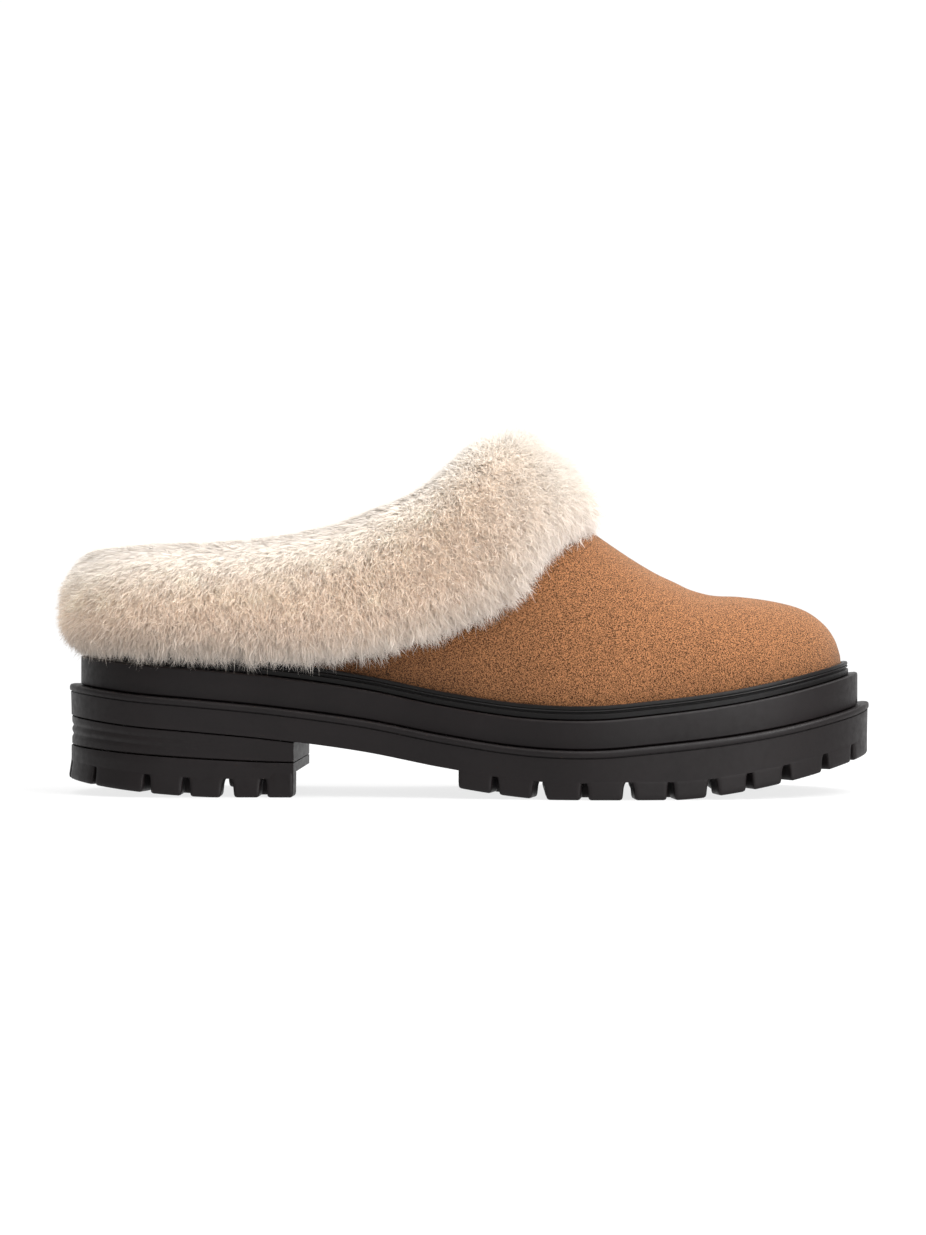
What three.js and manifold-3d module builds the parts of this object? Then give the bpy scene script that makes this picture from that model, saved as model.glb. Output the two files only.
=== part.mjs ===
// Clog slipper, right foot: lug sole with a heel block, suede upper on a last, deep shearling cuff.
// Millimetres, +Z up, toe towards +X, outer side towards -Y, standing on Z = 0.
import * as THREE from "three";
import { mergeVertices } from "three/addons/utils/BufferGeometryUtils.js";
import Module from "manifold-3d";

const wasm = await Module();
wasm.setup();

// Driving sizes of the sole
const soleLength = 272;
const ballWidth = 98;
const heelStack = 37;
const slabThickness = 10.3;
const midsoleHeight = 9.4;
const weltHeight = 4.4;
const liftHeight = 11.2;
const lugHeight = 5.8;
const heelLugHeight = 6.1;
const breastStep = 6.5;
const lugDepth = 11;
const lipLedge = 3.8;
const weltLedge = 3.1;
const upperLedge = 2.4;
const lipHeight = 2.4;
const lipOverhang = 0.4;
const toeSpring = 13.6;
const heelBevel = 5.3;
const liftRise = 5.2;
const breastHeight = 8;
const draft = 0.2;
const liftFlare = 0.3;
const edgeRound = 0.5;

// Driving sizes of the upper, the footbed and the cuff
const instepHeight = 104;
const collarHeight = 74;
const upperWall = 2.5;
const insoleThickness = 5;
const footbedRound = 1.2;
const heelLean = 4;
const cuffDrop = 36;
const cuffRise = 10;
const cuffOutside = 13;
const cuffInside = 6.5;
const innerCuffDepth = 17;
const lockWidth = 12;
const lockThickness = 0.11;

// Clearance between pieces, how far a cutting shape runs past what it cuts, and the steps of the surfaces
const gap = 0.3;
const overrun = 8;
const ringSteps = 52;
const sectionSteps = 6;
const collarSteps = 26;
const loopStations = 22;
const loopSteps = 34;

// Outline of the sole seen from above: half widths as shares of the ball width, before the ends are rounded
const planRows = [
  { along: 0.0, outer: 0.35, inner: 0.35 },
  { along: 0.12, outer: 0.372, inner: 0.365 },
  { along: 0.26, outer: 0.365, inner: 0.345 },
  { along: 0.4, outer: 0.385, inner: 0.315 },
  { along: 0.52, outer: 0.45, inner: 0.365 },
  { along: 0.64, outer: 0.51, inner: 0.45 },
  { along: 0.75, outer: 0.495, inner: 0.5 },
  { along: 0.87, outer: 0.45, inner: 0.495 },
  { along: 1.0, outer: 0.4, inner: 0.46 },
];
const heelRound = 0.135;
const toeRound = 0.2;
const heelFullness = 2.2;
const toeFullness = 2.15;

// Side lines of the sole: lip height as a share of the heel stack, midsole band as a share of its height
const sideRows = [
  { along: 0.0, lip: 1.0, band: 1.03 },
  { along: 0.09, lip: 0.915, band: 1.04 },
  { along: 0.17, lip: 0.862, band: 1.05 },
  { along: 0.263, lip: 0.795, band: 1.05 },
  { along: 0.372, lip: 0.688, band: 1.02 },
  { along: 0.471, lip: 0.55, band: 0.98 },
  { along: 0.568, lip: 0.448, band: 0.98 },
  { along: 0.65, lip: 0.427, band: 0.99 },
  { along: 0.72, lip: 0.468, band: 1.0 },
  { along: 0.803, lip: 0.535, band: 1.04 },
  { along: 0.88, lip: 0.625, band: 1.1 },
  { along: 0.966, lip: 0.765, band: 1.15 },
  { along: 1.0, lip: 0.84, band: 1.15 },
];

// Where the sole touches the floor, as shares of its length
const bevelEnd = 0.2;
const heelFront = 0.29;
const forefootStart = 0.488;
const forefootFlat = 0.6;
const springStart = 0.745;
const forefootRise = 3.5;
const rollPower = 1.5;

// Notches between the lugs: place along the outer edge, width as a share of the lug height,
// 1 in across where the notch runs right across, and how much further forward it meets the inner edge
const forefootNotches = [
  { along: 0.532, width: 0.45, across: 0 },
  { along: 0.584, width: 0.85, across: 1, skew: 0.0 },
  { along: 0.638, width: 0.45, across: 0 },
  { along: 0.691, width: 0.7, across: 1, skew: 0.008 },
  { along: 0.741, width: 0.45, across: 0 },
  { along: 0.791, width: 0.7, across: 1, skew: 0.0 },
  { along: 0.836, width: 0.45, across: 0 },
  { along: 0.882, width: 0.65, across: 1, skew: 0.0 },
  { along: 0.933, width: 0.6, across: 0 },
  { along: 0.9715, width: 0.45, across: 0 },
];
const heelNotches = [
  { along: 0.006, width: 0.35, across: 0 },
  { along: 0.0435, width: 0.35, across: 0 },
  { along: 0.1125, width: 0.5, across: 0 },
  { along: 0.1605, width: 0.5, across: 0 },
  { along: 0.2105, width: 0.75, across: 1, skew: -0.0275 },
  { along: 0.2535, width: 0.45, across: 0 },
];
const notchTaper = 0.7;
const channelShare = 0.8;

// Ribs of the heel block as shares of its height, and the two ridges of the welt
const heelRibs = [0.33, 0.63];
const ribShare = 0.1;
const ribDepth = 0.5;
const ribEnd = 0.21;
const weltRows = [
  { up: 0.0, inset: 0.0 },
  { up: 0.42, inset: 0.0 },
  { up: 0.5, inset: 0.7 },
  { up: 0.6, inset: 0.2 },
  { up: 1.0, inset: 0.3 },
];

// Ridge of the last over the foot: height as a share of the instep height, roundness of the section,
// and how far the ridge stands towards the big toe as a share of the ball width
const ridgeRows = [
  { along: 0.034, height: 1.3, power: 2.6, lean: 0.0 },
  { along: 0.3, height: 1.28, power: 2.5, lean: 0.01 },
  { along: 0.5, height: 1.14, power: 2.35, lean: 0.03 },
  { along: 0.574, height: 0.995, power: 2.25, lean: 0.04 },
  { along: 0.664, height: 0.832, power: 2.15, lean: 0.045 },
  { along: 0.715, height: 0.744, power: 2.15, lean: 0.04 },
  { along: 0.765, height: 0.68, power: 2.2, lean: 0.035 },
  { along: 0.8, height: 0.645, power: 2.3, lean: 0.03 },
  { along: 0.84, height: 0.638, power: 2.3, lean: 0.03 },
  { along: 0.885, height: 0.6215, power: 2.25, lean: 0.03 },
  { along: 0.92, height: 0.5945, power: 2.2, lean: 0.02 },
  { along: 0.944, height: 0.5505, power: 2.1, lean: 0.01 },
  { along: 0.958, height: 0.501, power: 2.0, lean: 0.005 },
  { along: 0.9655, height: 0.447, power: 1.95, lean: 0.0 },
];

// Top edge of the collar: height as a share of the collar height
const collarRows = [
  { along: -0.1, height: 0.98 },
  { along: 0.06, height: 0.98 },
  { along: 0.22, height: 1.0 },
  { along: 0.3, height: 1.03 },
  { along: 0.37, height: 1.09 },
  { along: 0.43, height: 1.19 },
  { along: 0.48, height: 1.31 },
  { along: 0.52, height: 1.385 },
  { along: 0.555, height: 1.405 },
  { along: 0.578, height: 1.39 },
];
const throat = 0.578;

// The cuff round the collar from the throat (0) to the back of the heel (1), as shares of its named sizes;
// tilt is the slope of the upper under it in degrees, round is 1 for an oval lobe and less for a fuller one,
// and belly is how far down the drop the lobe is thickest
const cuffRows = [
  { around: 0.0, drop: 0.8, rise: 2.1, out: 1.2, tilt: 56, round: 0.88, belly: 0.0 },
  { around: 0.1, drop: 0.98, rise: 1.7, out: 1.16, tilt: 44, round: 0.85, belly: 0.1 },
  { around: 0.22, drop: 1.2, rise: 0.92, out: 1.06, tilt: 24, round: 0.8, belly: 0.25 },
  { around: 0.36, drop: 1.1, rise: 1.1, out: 1.0, tilt: 10, round: 0.8, belly: 0.35 },
  { around: 0.6, drop: 0.95, rise: 1.02, out: 0.98, tilt: 4, round: 0.82, belly: 0.4 },
  { around: 0.8, drop: 0.86, rise: 1.0, out: 0.98, tilt: 3, round: 0.86, belly: 0.42 },
  { around: 1.0, drop: 0.78, rise: 0.86, out: 1.0, tilt: 0, round: 0.95, belly: 0.45 },
];

// Rows of locks: place on the section ring, size, and which steps round the loop carry one
const lockRows = [
  { place: 11, size: 0.9, every: 2, shift: 0 },
  { place: 0.7, size: 1.0, every: 3, shift: 1 },
];

// One lock from root to tip: steps down the section, lift off the cuff and width as shares of the lock width
const lockShape = [
  { down: -0.8, lift: -0.16, wide: 0.5 },
  { down: -0.1, lift: 0.01, wide: 1.0 },
  { down: 0.6, lift: 0.05, wide: 0.8 },
];
const lockTip = { down: 1.15, lift: 0.12 };

// Smooth curve through one column of a table
function column(rows, key, at) {
  const first = Object.keys(rows[0])[0];
  const last = rows.length - 1;
  const t = Math.min(Math.max(at, rows[0][first]), rows[last][first]);
  let i = 0;
  while (i < last - 1 && t > rows[i + 1][first]) i += 1;
  const slope = (k) => {
    const a = Math.max(k - 1, 0);
    const b = Math.min(k + 1, last);
    return (rows[b][key] - rows[a][key]) / (rows[b][first] - rows[a][first]);
  };
  const span = rows[i + 1][first] - rows[i][first];
  const u = (t - rows[i][first]) / span;
  const u2 = u * u;
  const u3 = u2 * u;
  return (
    rows[i][key] * (2 * u3 - 3 * u2 + 1) +
    slope(i) * span * (u3 - 2 * u2 + u) +
    rows[i + 1][key] * (3 * u2 - 2 * u3) +
    slope(i + 1) * span * (u3 - u2)
  );
}

// Closed mesh to solid, and solid to named mesh
function toSolid(geometry) {
  geometry.deleteAttribute("normal");
  geometry.deleteAttribute("uv");
  const merged = mergeVertices(geometry, 1e-4);
  const mesh = new wasm.Mesh({
    numProp: 3,
    vertProperties: new Float32Array(merged.attributes.position.array),
    triVerts: new Uint32Array(merged.index.array),
  });
  return new wasm.Manifold(mesh);
}

function toMesh(name, solid, color, roughness) {
  const mesh = solid.getMesh();
  const geometry = new THREE.BufferGeometry();
  geometry.setAttribute("position", new THREE.BufferAttribute(new Float32Array(mesh.vertProperties), 3));
  geometry.setIndex(new THREE.BufferAttribute(new Uint32Array(mesh.triVerts), 1));
  geometry.computeVertexNormals();
  const material = new THREE.MeshStandardMaterial({ color, roughness, metalness: 0 });
  const node = new THREE.Mesh(geometry, material);
  node.name = name;
  return node;
}

// Closed body from raw points and triangles, turned so that its faces point out
function facingOut(positions, index) {
  const geometry = new THREE.BufferGeometry();
  geometry.setAttribute("position", new THREE.Float32BufferAttribute(positions, 3));
  geometry.setIndex(index);
  const solid = toSolid(geometry);
  if (solid.volume() > 0) return solid;
  geometry.setIndex(index.slice().reverse());
  return toSolid(geometry);
}

// Closed body from rings of equal count, bottom ring first; each end is closed by strips across the ring,
// and a last ring folded on itself closes like a seam
function ringBody(rings) {
  const count = rings[0].length;
  const positions = [];
  const index = [];
  rings.forEach((ring) => ring.forEach((p) => positions.push(p.x, p.y, p.z)));
  for (let i = 0; i < rings.length - 1; i += 1) {
    for (let k = 0; k < count; k += 1) {
      const a = i * count + k;
      const b = i * count + ((k + 1) % count);
      index.push(a, b, b + count, a, b + count, a + count);
    }
  }
  const half = count / 2;
  const cap = (base, up) => {
    for (let k = 0; k < half; k += 1) {
      const a = base + k;
      const b = base + k + 1;
      const c = base + ((count - k - 1) % count);
      const d = base + ((count - k) % count);
      const triangles = k === 0 ? [[a, b, c]] : k === half - 1 ? [[a, b, d]] : [[a, b, c], [a, c, d]];
      triangles.forEach(([p, q, r]) => (up ? index.push(p, q, r) : index.push(p, r, q)));
    }
  };
  cap(0, false);
  const top = rings[rings.length - 1];
  const folded = top.every((p, k) => p.distanceTo(top[(count - k) % count]) < 1e-6);
  if (!folded) cap((rings.length - 1) * count, true);
  return facingOut(positions, index);
}

// Box between two x stations, wide and tall enough to cut with
function slice(fromX, toX, fromZ, toZ) {
  const reach = 2 * ballWidth;
  const box = new THREE.BoxGeometry(toX - fromX, reach, toZ - fromZ);
  box.translate((fromX + toX) / 2, 0, (fromZ + toZ) / 2);
  return toSolid(box);
}

// Prism across the shoe below or above a line drawn on its side
function sidePrism(line, level) {
  const shape = new THREE.Shape();
  shape.moveTo(line[0].x, level);
  line.forEach((p) => shape.lineTo(p.x, p.z));
  shape.lineTo(line[line.length - 1].x, level);
  const reach = 2 * ballWidth;
  const prism = new THREE.ExtrudeGeometry(shape, { depth: reach, bevelEnabled: false });
  prism.rotateX(Math.PI / 2);
  prism.translate(0, reach / 2, 0);
  return toSolid(prism);
}

// Heights of the sole along its length
const lipTop = (s) => heelStack * column(sideRows, "lip", s);
const midsoleTop = (s) => lipTop(s) + gap + midsoleHeight * column(sideRows, "band", s);
const weltTop = (s) => midsoleTop(s) + gap + weltHeight;
const slabBottom = (s) => lipTop(s) - slabThickness;
const liftTop = (s) => liftHeight + liftRise * Math.max(0, 1 - s / heelFront) ** rollPower;

const heelFloor = (s) => heelBevel * (Math.max(0, bevelEnd - s) / bevelEnd) ** rollPower;
function forefootFloor(s) {
  const front = toeSpring * (Math.max(0, s - springStart) / (1 - springStart)) ** rollPower;
  const rear = forefootRise * (Math.max(0, forefootFlat - s) / (forefootFlat - forefootStart)) ** rollPower;
  return front + rear;
}

// One point of the outline seen from above; turn runs 0 at the heel, 0.5 at the toe, 1 at the heel again
function outlinePoint(turn) {
  const along = (1 - Math.cos(2 * Math.PI * turn)) / 2;
  const ended = (share, power) => (1 - (1 - Math.min(share, 1)) ** power) ** (1 / power);
  const ends = ended(along / heelRound, heelFullness) * ended((1 - along) / toeRound, toeFullness);
  const outer = ballWidth * column(planRows, "outer", along);
  const inner = ballWidth * column(planRows, "inner", along);
  const middle = (inner - outer) / 2;
  const side = turn < 0.5 ? -1 : 1;
  return { along, middle, y: middle + side * ((inner + outer) / 2) * ends };
}

// Outline moved inwards by an inset; the outer side comes first, then the inner side back to the heel
function outline(setIn) {
  const points = [];
  for (let k = 0; k < ringSteps; k += 1) {
    const here = outlinePoint(k / ringSteps);
    const before = outlinePoint((k - 0.5 + ringSteps) / ringSteps % 1);
    const after = outlinePoint((k + 0.5) / ringSteps % 1);
    const dx = (after.along - before.along) * soleLength;
    const dy = after.y - before.y;
    const size = Math.hypot(dx, dy);
    const inset = typeof setIn === "function" ? setIn(here.along) : setIn;
    const x = here.along * soleLength - (dy / size) * inset;
    const y = here.y + (dx / size) * inset;
    points.push({ x, y, along: x / soleLength, middle: here.middle });
  }
  return points;
}

// Layer of the sole: rows of inset and height function, bottom first
function layer(rows) {
  const rings = rows.map(({ inset, height }) =>
    outline(inset).map((p) => new THREE.Vector3(p.x, p.y, height(p.along))),
  );
  return ringBody(rings);
}

// Notch tool at a place on the outline: a wedge narrower at the top, running inwards
function notch(point, inward, length, width, top, bottom) {
  const across = new THREE.Vector3(-inward.y, inward.x, 0);
  const corner = (u, v, z) =>
    new THREE.Vector3(point.x, point.y, z).addScaledVector(inward, v).addScaledVector(across, u);
  const half = width / 2;
  const face = (w, z) => [corner(-w, -overrun, z), corner(w, -overrun, z), corner(w, length, z),
    corner(-w, length, z)];
  const p = [...face(half, bottom), ...face(half * notchTaper, top)].flatMap((c) => [c.x, c.y, c.z]);
  const faces = [0, 1, 2, 0, 2, 3, 4, 6, 5, 4, 7, 6, 0, 4, 5, 0, 5, 1, 1, 5, 6, 1, 6, 2, 2, 6, 7, 2, 7, 3,
    3, 7, 4, 3, 4, 0];
  return facingOut(p, faces);
}

// Point and inward direction on one side of the outline, at a share of the length
function edgeAt(share, side) {
  const turn = Math.acos(1 - 2 * share) / (2 * Math.PI);
  const at = (t) => {
    const p = outlinePoint(side < 0 ? t : 1 - t);
    return new THREE.Vector3(p.along * soleLength, p.y, 0);
  };
  const point = at(turn);
  const along = at(turn + 0.004).sub(at(turn - 0.004)).normalize();
  const inward = side < 0 ? new THREE.Vector3(-along.y, along.x, 0) : new THREE.Vector3(along.y, -along.x, 0);
  return { point, inward };
}

// All the cuts between the lugs of one block of the sole
function lugCuts(rows, floor, high, fromX, toX) {
  const channel = channelShare * lugHeight;
  let cuts = layer([
    { inset: lugDepth, height: () => -overrun },
    { inset: lugDepth, height: (s) => floor(s) + channelShare * high },
  ]).subtract(layer([
    { inset: lugDepth + channel, height: () => -2 * overrun },
    { inset: lugDepth + channel, height: () => heelStack },
  ]));
  cuts = cuts.intersect(slice(fromX, toX, -2 * overrun, heelStack));
  rows.forEach(({ along, width, across, skew = 0 }) => {
    const wide = width * lugHeight;
    const outer = edgeAt(along, -1);
    const inner = edgeAt(along + skew, 1);
    const straight = inner.point.clone().sub(outer.point).normalize();
    [[outer, along, 1], [inner, along + skew, -1]].forEach(([edge, at, way]) => {
      const length = across ? ballWidth / 2 : lugDepth + channel / 2;
      const direction = across ? straight.clone().multiplyScalar(way) : edge.inward;
      cuts = cuts.add(notch(edge.point, direction, length, wide, floor(at) + high, -lugHeight));
    });
  });
  return cuts;
}

// Outsole: slab with its lip, and the forefoot lugs
function makeOutsole() {
  const wallTop = (s) => lipTop(s) - lipHeight;
  const slab = layer([
    { inset: lipOverhang + draft, height: slabBottom },
    { inset: lipOverhang, height: wallTop },
    { inset: 0, height: (s) => wallTop(s) + draft },
    { inset: 0, height: (s) => lipTop(s) - edgeRound },
    { inset: edgeRound, height: lipTop },
  ]);
  const blockTop = (s) => lipTop(s) - slabThickness / 2;
  const block = layer([
    { inset: lipOverhang + 2 * draft, height: forefootFloor },
    { inset: lipOverhang + draft, height: blockTop },
  ]).intersect(slice(forefootStart * soleLength, soleLength + overrun, -1, 2 * heelStack));
  const cuts = lugCuts(forefootNotches, forefootFloor, lugHeight, forefootStart * soleLength - 1, soleLength);
  return slab.add(block.subtract(cuts)).subtract(cuts);
}

// Heel block between the slab and the top lift, with shallow ribs that fade out forwards
function makeHeelBlock() {
  const bottom = (s) => liftTop(s) + gap;
  const top = (s) => slabBottom(s) - gap;
  const face = lipOverhang + 2 * draft;
  const level = (share) => (s) => top(s) + (bottom(s) - top(s)) * share;
  const groove = (s) => face + ribDepth * Math.max(0, 1 - s / ribEnd);
  const rows = [{ inset: face + draft / 2, height: bottom }];
  [...heelRibs].reverse().forEach((down) => {
    rows.push({ inset: face, height: level(down + ribShare) });
    rows.push({ inset: groove, height: level(down) });
    rows.push({ inset: face, height: level(down - ribShare) });
  });
  rows.push({ inset: face - draft / 2, height: top });
  return layer(rows).intersect(slice(-1, heelFront * soleLength, 0, 2 * heelStack));
}

// Top lift of the heel with its lugs; only the outer corner lug comes forward to the heel's front
function makeHeelLift() {
  const frontX = heelFront * soleLength;
  const block = layer([
    { inset: -liftFlare, height: heelFloor },
    { inset: lipOverhang + draft, height: liftTop },
  ]).intersect(slice(-1, frontX, -1, 2 * heelStack));
  const step = slice(frontX - breastStep, frontX + 1, -1, breastHeight);
  const outerHalf = ballWidth * column(planRows, "outer", heelFront);
  const corner = slice(frontX - breastStep - 1, frontX + 2, -2, breastHeight + 1);
  const kept = corner.translate(0, lugDepth - outerHalf - ballWidth, 0);
  const cuts = lugCuts(heelNotches, heelFloor, heelLugHeight, -1, frontX - lugDepth);
  return block.subtract(cuts).subtract(step.subtract(kept));
}

// Midsole band
function makeMidsole() {
  return layer([
    { inset: lipLedge, height: (s) => lipTop(s) + gap },
    { inset: lipLedge, height: (s) => midsoleTop(s) - edgeRound },
    { inset: lipLedge + edgeRound, height: midsoleTop },
  ]);
}

// Welt: a strip round the foot of the upper with two fine ridges
function makeWelt() {
  const edge = lipLedge + weltLedge;
  const at = (share) => (s) => midsoleTop(s) + gap + weltHeight * share;
  const outside = layer(weltRows.map(({ up, inset }) => ({ inset: edge + inset, height: at(up) })));
  const inside = layer([
    { inset: edge + upperLedge - gap, height: at(-0.5) },
    { inset: edge + upperLedge - gap, height: at(1.5) },
  ]);
  return outside.subtract(inside);
}

// Body of the last, grown outwards or inwards; a skirt below the seat opens the bottom when it is cut out
function lastBody(grow, skirt) {
  const base = outline(lipLedge + weltLedge + upperLedge - grow);
  const seat = (s) => midsoleTop(s) + gap;
  const rings = [];
  if (skirt > 0) rings.push(base.map((p) => new THREE.Vector3(p.x, p.y, seat(p.along) - skirt)));
  for (let j = 0; j <= sectionSteps; j += 1) {
    const angle = (Math.PI / 2) * (j / sectionSteps);
    rings.push(base.map((p, k) => {
      const facing = base[(ringSteps - k) % ringSteps];
      const spineX = (p.x + facing.x) / 2;
      const along = spineX / soleLength;
      const power = column(ridgeRows, "power", along);
      const up = Math.sin(angle) ** (2 / power);
      const out = j === sectionSteps ? 0 : Math.cos(angle) ** (2 / power);
      const low = seat(p.along);
      const ridge = Math.max(instepHeight * column(ridgeRows, "height", along) + grow, seat(along) + 1);
      const centre = p.middle + ballWidth * column(ridgeRows, "lean", along) * up;
      const back = Math.max(0, 1 - along / heelRound) ** 2 * heelLean * up;
      const x = p.x + (spineX - p.x) * up + back;
      return new THREE.Vector3(x, centre + (p.y - p.middle) * out, low + (ridge - low) * up);
    }));
  }
  return ringBody(rings);
}

// Collar line on the side of the shoe, raised by an amount
function collarLine(raise) {
  const line = [];
  const start = collarRows[0].along;
  for (let i = 0; i <= collarSteps; i += 1) {
    const s = start + (throat - start) * (i / collarSteps);
    line.push({ x: s * soleLength, z: collarHeight * column(collarRows, "height", s) + raise });
  }
  return line;
}
const aboveCollar = (raise) => sidePrism(collarLine(raise), 3 * collarHeight);

// Everything more than a depth below the collar line, and all in front of the throat
function belowCollar(depth) {
  const line = collarLine(-depth);
  const front = line[line.length - 1].x + gap;
  const high = 2 * instepHeight;
  return sidePrism([...line, { x: front, z: high }, { x: 1.2 * soleLength, z: high }], -heelStack);
}

// Hollow suede upper, open at the collar and underneath
function makeUpper() {
  return lastBody(0, 0).subtract(lastBody(-upperWall, 2 * gap)).subtract(aboveCollar(0));
}

// Footbed inside the upper
function makeInsole() {
  const inset = lipLedge + weltLedge + upperLedge + upperWall + gap;
  const plate = layer([
    { inset, height: (s) => midsoleTop(s) + gap },
    { inset, height: (s) => midsoleTop(s) + gap + insoleThickness - footbedRound },
    { inset: inset + footbedRound, height: (s) => midsoleTop(s) + gap + insoleThickness },
  ]);
  return plate.intersect(lastBody(-upperWall - gap, 2 * gap));
}

// Path of the collar edge over the last: heel, outer side, throat, inner side
function collarPath() {
  const base = outline(lipLedge + weltLedge + upperLedge);
  const rear = base[0].along;
  const pointAt = (q, side) => {
    const s = rear + (throat - rear) * q;
    let k = 0;
    while (k < ringSteps / 2 - 1 && base[k + 1].along < s) k += 1;
    const u = (s - base[k].along) / (base[k + 1].along - base[k].along);
    const mirror = (i) => (side < 0 ? base[i] : base[(ringSteps - i) % ringSteps]);
    const y = mirror(k).y + (mirror(k + 1).y - mirror(k).y) * u;
    const middle = base[k].middle + (base[k + 1].middle - base[k].middle) * u;
    const power = column(ridgeRows, "power", s);
    const low = midsoleTop(s) + gap;
    const ridge = instepHeight * column(ridgeRows, "height", s);
    const z = Math.min(collarHeight * column(collarRows, "height", s), ridge);
    const up = (z - low) / (ridge - low);
    const out = Math.max(0, 1 - up ** power) ** (1 / power);
    const lean = ballWidth * column(ridgeRows, "lean", s) * up;
    const back = Math.max(0, 1 - s / heelRound) ** 2 * heelLean * up;
    return new THREE.Vector3(s * soleLength + back, middle + lean + (y - middle) * out, z);
  };
  const share = (i) => (1 - Math.cos((Math.PI * i) / loopStations)) / 2;
  const points = [];
  for (let i = 0; i < loopStations; i += 1) points.push(pointAt(share(i), -1));
  for (let i = loopStations; i > 0; i -= 1) points.push(pointAt(share(i), 1));
  return new THREE.CatmullRomCurve3(points, true, "centripetal");
}

// Frame on the collar edge at a share of the loop: point, outward normal of the upper, direction up the wall
const loopPoints = collarPath().getSpacedPoints(loopSteps).slice(0, loopSteps);
const throatStep = loopPoints.reduce((best, p, i) => (p.x > loopPoints[best].x ? i : best), 0);
function cuffFrame(step) {
  const i = (step + loopSteps) % loopSteps;
  const point = loopPoints[i];
  const before = loopPoints[(i + loopSteps - 1) % loopSteps];
  const tangent = loopPoints[(i + 1) % loopSteps].clone().sub(before).normalize();
  let around = Math.abs(i - throatStep) / (loopSteps / 2);
  if (around > 1) around = 2 - around;
  const flat = new THREE.Vector3(tangent.y, -tangent.x, 0).normalize();
  const tilt = THREE.MathUtils.degToRad(column(cuffRows, "tilt", around));
  const up = new THREE.Vector3(0, 0, 1);
  const rough = flat.clone().multiplyScalar(Math.cos(tilt)).addScaledVector(up, Math.sin(tilt));
  const normal = rough.addScaledVector(tangent, -rough.dot(tangent)).normalize();
  const rise = new THREE.Vector3().crossVectors(normal, tangent).negate();
  if (rise.z < 0) rise.negate();
  return { point, normal, rise, around };
}

// Section of the cuff: a round lobe over the outside, a roll over the edge and a shorter lobe inside
function cuffSection(step) {
  const { point, normal, rise, around } = cuffFrame(step);
  const drop = cuffDrop * column(cuffRows, "drop", around);
  const top = cuffRise * column(cuffRows, "rise", around);
  const out = cuffOutside * column(cuffRows, "out", around);
  const round = column(cuffRows, "round", around);
  const belly = column(cuffRows, "belly", around) * drop;
  const inside = upperWall + cuffInside;
  const quarters = [
    { a: out, b: top + belly, base: -belly, parts: 4 },
    { a: inside, b: top, base: 0, parts: 3 },
    { a: inside, b: innerCuffDepth, base: 0, parts: 2 },
    { a: out, b: drop - belly, base: -belly, parts: 3 },
  ];
  const ring = [];
  quarters.forEach(({ a, b, base, parts }, from) => {
    for (let i = 0; i < parts; i += 1) {
      const angle = (Math.PI / 2) * (from + i / parts);
      const c = Math.cos(angle);
      const s = Math.sin(angle);
      const across = Math.sign(c) * Math.abs(c) ** round * a;
      const along = base + Math.sign(s) * Math.abs(s) ** round * b;
      ring.push(point.clone().addScaledVector(normal, across).addScaledVector(rise, along));
    }
  });
  return ring;
}

function torusBody(sections) {
  const count = sections[0].length;
  const total = sections.length;
  const positions = sections.flatMap((ring) => ring.flatMap((p) => [p.x, p.y, p.z]));
  const index = [];
  for (let i = 0; i < total; i += 1) {
    for (let k = 0; k < count; k += 1) {
      const a = i * count + k;
      const b = i * count + ((k + 1) % count);
      const c = ((i + 1) % total) * count + ((k + 1) % count);
      const d = ((i + 1) % total) * count + k;
      index.push(a, b, c, a, c, d);
    }
  }
  return facingOut(positions, index);
}

// One lock of wool: a flat tapering tuft whose spine follows the section of the cuff downwards
function makeLock(ring, place, normal, size) {
  const at = (u) => {
    const wrapped = (u + ring.length) % ring.length;
    const k = Math.floor(wrapped);
    return ring[k].clone().lerp(ring[(k + 1) % ring.length], wrapped - k);
  };
  const side = at(place).sub(at(place + 1)).cross(normal).normalize();
  const positions = [];
  const put = (down, lift, across) => {
    const p = at(place - down * size).addScaledVector(normal, lift * lockWidth);
    p.addScaledVector(side, across * lockWidth * size);
    positions.push(p.x, p.y, p.z);
  };
  lockShape.forEach(({ down, lift, wide }) => {
    put(down, lift + lockThickness, 0);
    put(down, lift, wide / 2);
    put(down, lift - 2 * lockThickness, 0);
    put(down, lift, -wide / 2);
  });
  put(lockTip.down, lockTip.lift, 0);
  const index = [0, 1, 2, 0, 2, 3];
  for (let i = 0; i < lockShape.length - 1; i += 1) {
    for (let k = 0; k < 4; k += 1) {
      const a = 4 * i + k;
      const b = 4 * i + ((k + 1) % 4);
      index.push(a, b + 4, b, a, a + 4, b + 4);
    }
  }
  const tip = 4 * lockShape.length;
  for (let k = 0; k < 4; k += 1) index.push(tip - 4 + k, tip, tip - 4 + ((k + 1) % 4));
  return facingOut(positions, index);
}

// Locks in rows over the outside of the cuff, each row shifted against the next
function addLocks(cuff, sections) {
  let body = cuff;
  lockRows.forEach(({ place, size, every, shift }) => {
    for (let i = 0; i < loopSteps; i += every) {
      const step = (i + shift) % loopSteps;
      body = body.add(makeLock(sections[step], place, cuffFrame(step).normal, size));
    }
  });
  return body;
}

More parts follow.
